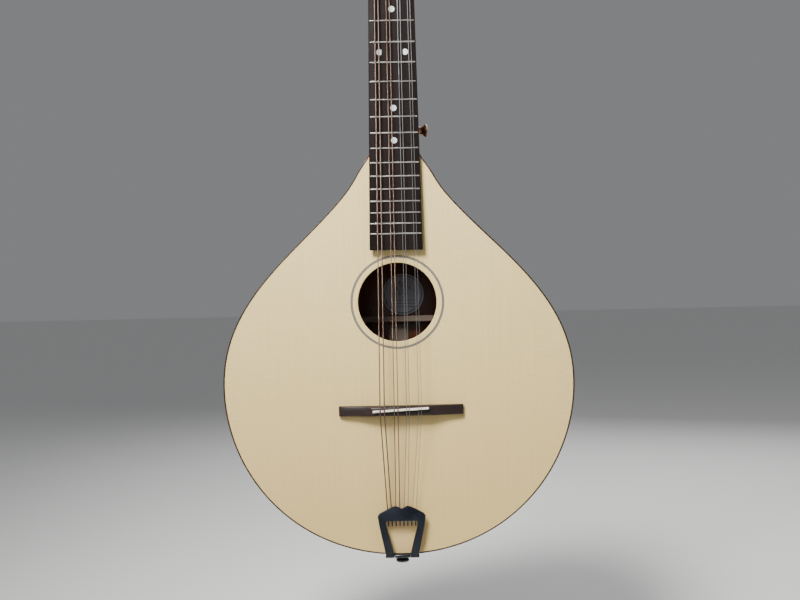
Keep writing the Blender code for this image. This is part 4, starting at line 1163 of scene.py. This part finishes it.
def make_strap_buttons():
    end = [(0, 14.3), (4.3, 14.4), (5.6, 14.2), (6.5, 13.6), (6.8, 12.6), (6.3, 11.4), (5.0, 10.3),
           (4.1, 9.0), (3.7, 7.4), (3.6, 5.6), (4.0, 3.4), (4.8, 1.6), (6.0, 0.3), (6.0, 0.0), (2.9, 0.0),
           (2.9, -13.0), (0, -13.0)]
    button = turned("end_strap_button", end, 48)
    moved(button, Matrix.Translation((0, 42, BRACKET_FACE - 0.3)) @ Matrix.Rotation(math.pi, 4, "X"))
    finished(smooth(button, 40), BENCH, BLACK_CHROME, replaces=("end_button",))
    heel = [(0, 8.2), (3.2, 8.3), (4.9, 8.2), (6.0, 7.7), (6.5, 7.0), (6.3, 6.2), (5.2, 5.0), (4.2, 3.9),
            (3.6, 2.8), (3.4, 2.0), (3.8, 0.9), (4.2, 0.0), (1.8, 0.0), (1.8, -9.0), (0, -9.0)]
    button = turned("heel_strap_button", heel, 48)
    moved(button, Matrix.Translation((24.3, 17, 266.8)) @ Matrix.Rotation(math.radians(90), 4, "Y"))
    finished(smooth(button, 40), BENCH, BROWN_POLISHED_METAL, replaces=("heel_button",))


# ---------------------------------------------------------------- machine heads

PLATE_FRONT = HEAD_THICK + 0.3
PLATE_BACK = PLATE_FRONT + 1.2
WORM_Y = PLATE_BACK + 3.9
WORM_OFFSET = 8.0


def post_spot(side, rank):
    return Vector((side * POST_X, 0, POST_FIRST + POST_PITCH * rank))


def make_posts():
    gear_front, gear_back = WORM_Y - 1.2, WORM_Y + 1.2
    profile = [(0, 14.0), (2.0, 14.0), (2.6, 13.8), (3.0, 13.2), (3.0, 10.4), (2.8, 9.9), (2.4, 9.5),
               (2.3, 9.2), (2.3, 5.4), (2.5, 4.8), (2.9, 4.1), (3.0, 3.6), (3.0, -gear_back), (0, -gear_back)]
    for side, label in SIDES.items():
        for rank in range(4):
            body = f"string_post_{label}_{rank + 1}"
            post = turned(f"post_{label}_{rank + 1}", profile, 36)
            moved(post, Matrix.Rotation(math.radians(90), 4, "X"))
            cut(post, bar("hole_tool", (-5, -7.5, 0), (5, -7.5, 0), 0.75, 16))
            smooth(post, 40)
            spot = Matrix.Translation(post_spot(side, rank))
            finished(post, HEAD @ spot, NICKEL, body, (body,))
            gear = plate(f"gear_{label}_{rank + 1}", gear_outline(), gear_front, gear_back)
            soften(gear, 0.12, 1, 40)
            finished(smooth(gear, 30), HEAD @ spot, BRASS, body)
            screw(f"gear_screw_{label}_{rank + 1}", (0, gear_back + 0.4, 0), (0, 1, 0), 2.5, HEAD @ spot,
                  NICKEL, body, turn=0.3 + 0.9 * rank)
            bushing(label, side, rank)


def gear_outline():
    points = []
    for k in range(15):
        middle = math.pi / 2 + 2 * math.pi * (k + 0.5) / 15
        for radius, thick in ((4.3, -1.1), (5.55, -0.62), (5.8, -0.4), (5.8, 0.4), (5.55, 0.62), (4.3, 1.1)):
            turn = middle + thick / 2 / radius
            points.append((radius * math.cos(turn), radius * math.sin(turn)))
    return points


def bushing(label, side, rank):
    """A collar in the headstock's face, round the post."""
    profile = [(4.9, 0.35), (5.4, 0.2), (5.6, 0.0), (5.6, -0.2), (3.3, -0.2),
               (3.3, 0.8), (3.6, 1.05), (4.2, 1.05), (4.6, 0.8), (4.9, 0.35)]
    collar = turned(f"bushing_{label}_{rank + 1}", profile, 40)
    spot = Matrix.Translation(post_spot(side, rank)) @ Matrix.Rotation(math.radians(90), 4, "X")
    finished(smooth(collar, 40), HEAD @ spot, NICKEL)


def make_shafts():
    for side, label in SIDES.items():
        for rank in range(4):
            body = f"tuner_shaft_{label}_{rank + 1}"
            spot = Matrix.Translation(post_spot(side, rank) + Vector((0, WORM_Y, WORM_OFFSET)))
            make_shaft(side, label, rank, body, spot)
            make_button(side, label, rank, body, spot)


def make_shaft(side, label, rank, body, spot):
    """The worm and its shaft, turning about x."""
    ends = [(0, -7.5), (1.2, -7.5), (1.45, -7.2), (1.45, -4.4), (1.9, -4.2), (1.9, 4.2),
            (1.45, 4.4), (1.45, 16.6), (2.5, 17.0), (2.7, 17.4), (2.7, 18.2), (2.2, 18.8),
            (1.4, 19.0), (0, 19.0)]
    shaft = turned(f"worm_shaft_{label}_{rank + 1}", ends[::-1], 24)
    moved(shaft, Matrix.Rotation(side * math.radians(90), 4, "Y"))
    thread = []
    for k in range(58):
        turn = 2 * math.pi * (k / 24 - 57 / 48)
        thread.append((2.199 * turn / (2 * math.pi), 2.62 * math.sin(turn), -2.62 * math.cos(turn)))
    ridge = tube("thread", thread, 0.62, 2)
    joined(shaft, ridge)
    finished(smooth(shaft, 45), HEAD @ spot, NICKEL, body, (body,))


def make_button(side, label, rank, body, spot):
    """A flat-sided oval button, a little waisted at its root."""
    clear_selection()
    bpy.ops.mesh.primitive_cube_add(size=2)
    button = added(f"button_{label}_{rank + 1}")
    modifier = button.modifiers.new("round", "SUBSURF")
    modifier.levels = 4
    modifier.render_levels = 4
    apply_modifier(button, modifier)
    for vertex in button.data.vertices:
        x, y, z = vertex.co * 1.28
        root = 1.0 - 0.42 * max(0.0, -x) ** 1.6
        vertex.co = Vector((side * (6.4 * x + 23.9), 3.5 * y * root, 7.4 * z * root))
    tidy_skin(button)
    finished(smooth(button, 60), HEAD @ spot, CREAM, body)
    screw(f"button_screw_{label}_{rank + 1}", (side * 30.5, 0, 0), (side, 0, 0), 1.6, HEAD @ spot,
          NICKEL, body, turn=0.7 * rank)


def make_base_plates():
    for side, label in SIDES.items():
        remade(f"tuner_plate_{label}", f"base_plate_{label}", NICKEL, edge=0.22, segments=2)
        for k in range(5):
            z = POST_FIRST + POST_PITCH * k - 7.4 if k < 4 else POST_FIRST + POST_PITCH * 3 + 13.4
            for way in (-1, 1):
                x = side * POST_X + way * 4.8
                number = 2 * k + (way + 3) // 2
                screw(f"plate_screw_{label}_{number}", (x, PLATE_BACK, z), (0, 1, 0), 1.4, HEAD,
                      NICKEL, turn=0.5 * k + way)


# ---------------------------------------------------------------- stage


def make_stage():
    clear_selection()
    bpy.ops.mesh.primitive_plane_add(size=60, location=(0, 0, cad_box[0].z - 0.12))
    floor = added("floor")
    pale, tree, shader = start_material("pale_floor")
    shader.inputs["Base Color"].default_value = colour(0.86, 0.86, 0.85)
    shader.inputs["Roughness"].default_value = 0.9
    floor.data.materials.append(pale)


WORLD_STRENGTH = 0.26


def area_light(name, location, target, size, power, tint, spread=math.pi):
    data = bpy.data.lights.new(name, "AREA")
    data.shape = "RECTANGLE"
    data.size, data.size_y = size
    data.energy = power
    data.color = tint
    data.spread = spread
    light = bpy.data.objects.new(name, data)
    bpy.context.scene.collection.objects.link(light)
    light.location = location
    light.rotation_euler = (Vector(target) - Vector(location)).to_track_quat("-Z", "Y").to_euler()


def make_lights():
    area_light("key", (-0.5, -1.0, 0.42), (-0.05, 0, -0.36), (0.5, 0.5), 8.0, (1.0, 0.985, 0.955),
               spread=math.radians(62))
    area_light("window", (-0.6, -1.35, -0.16), (0, 0, -0.56), (0.45, 0.45), 2.6, (0.88, 0.94, 1.0))
    area_light("fill", (1.5, -1.3, -0.2), (0, 0, -0.4), (1.6, 1.6), 3.0, (0.94, 0.97, 1.0))
    area_light("rim", (0.7, 1.6, 0.5), (0, 0, -0.4), (1.5, 1.2), 18.0, (1.0, 1.0, 1.0))
    world = bpy.data.worlds.new("studio")
    world.use_nodes = True
    world.node_tree.nodes["Background"].inputs["Color"].default_value = colour(0.84, 0.85, 0.87)
    world.node_tree.nodes["Background"].inputs["Strength"].default_value = WORLD_STRENGTH
    bpy.context.scene.world = world


CAMERA_BACK = 1072.0  # distance from the soundboard's face
CAMERA_AT = (2.6, 101.4)
CAMERA_ROLL = math.radians(1.18)


def make_camera():
    data = bpy.data.cameras.new("camera")
    data.lens = 50.0
    data.sensor_width = 36.0
    camera = bpy.data.objects.new("camera", data)
    bpy.context.scene.collection.objects.link(camera)
    camera.location = BENCH @ Vector((CAMERA_AT[0], -CAMERA_BACK, CAMERA_AT[1]))
    facing = Matrix.Rotation(math.radians(90), 4, "X")
    roll = Matrix.Rotation(CAMERA_ROLL, 4, "Y")
    camera.rotation_euler = (roll @ facing).to_euler()
    bpy.context.scene.camera = camera


make_camera()
make_lights()
make_stage()
make_soundboard()
make_binding()
make_back()
make_ribs()
make_inside()
make_neck()
make_frets()
make_dots()
for number, string_name in enumerate(STRINGS):
    make_string(number, string_name)
make_bridge()
make_tailpiece()
make_strap_buttons()
make_base_plates()
make_posts()
make_shafts()
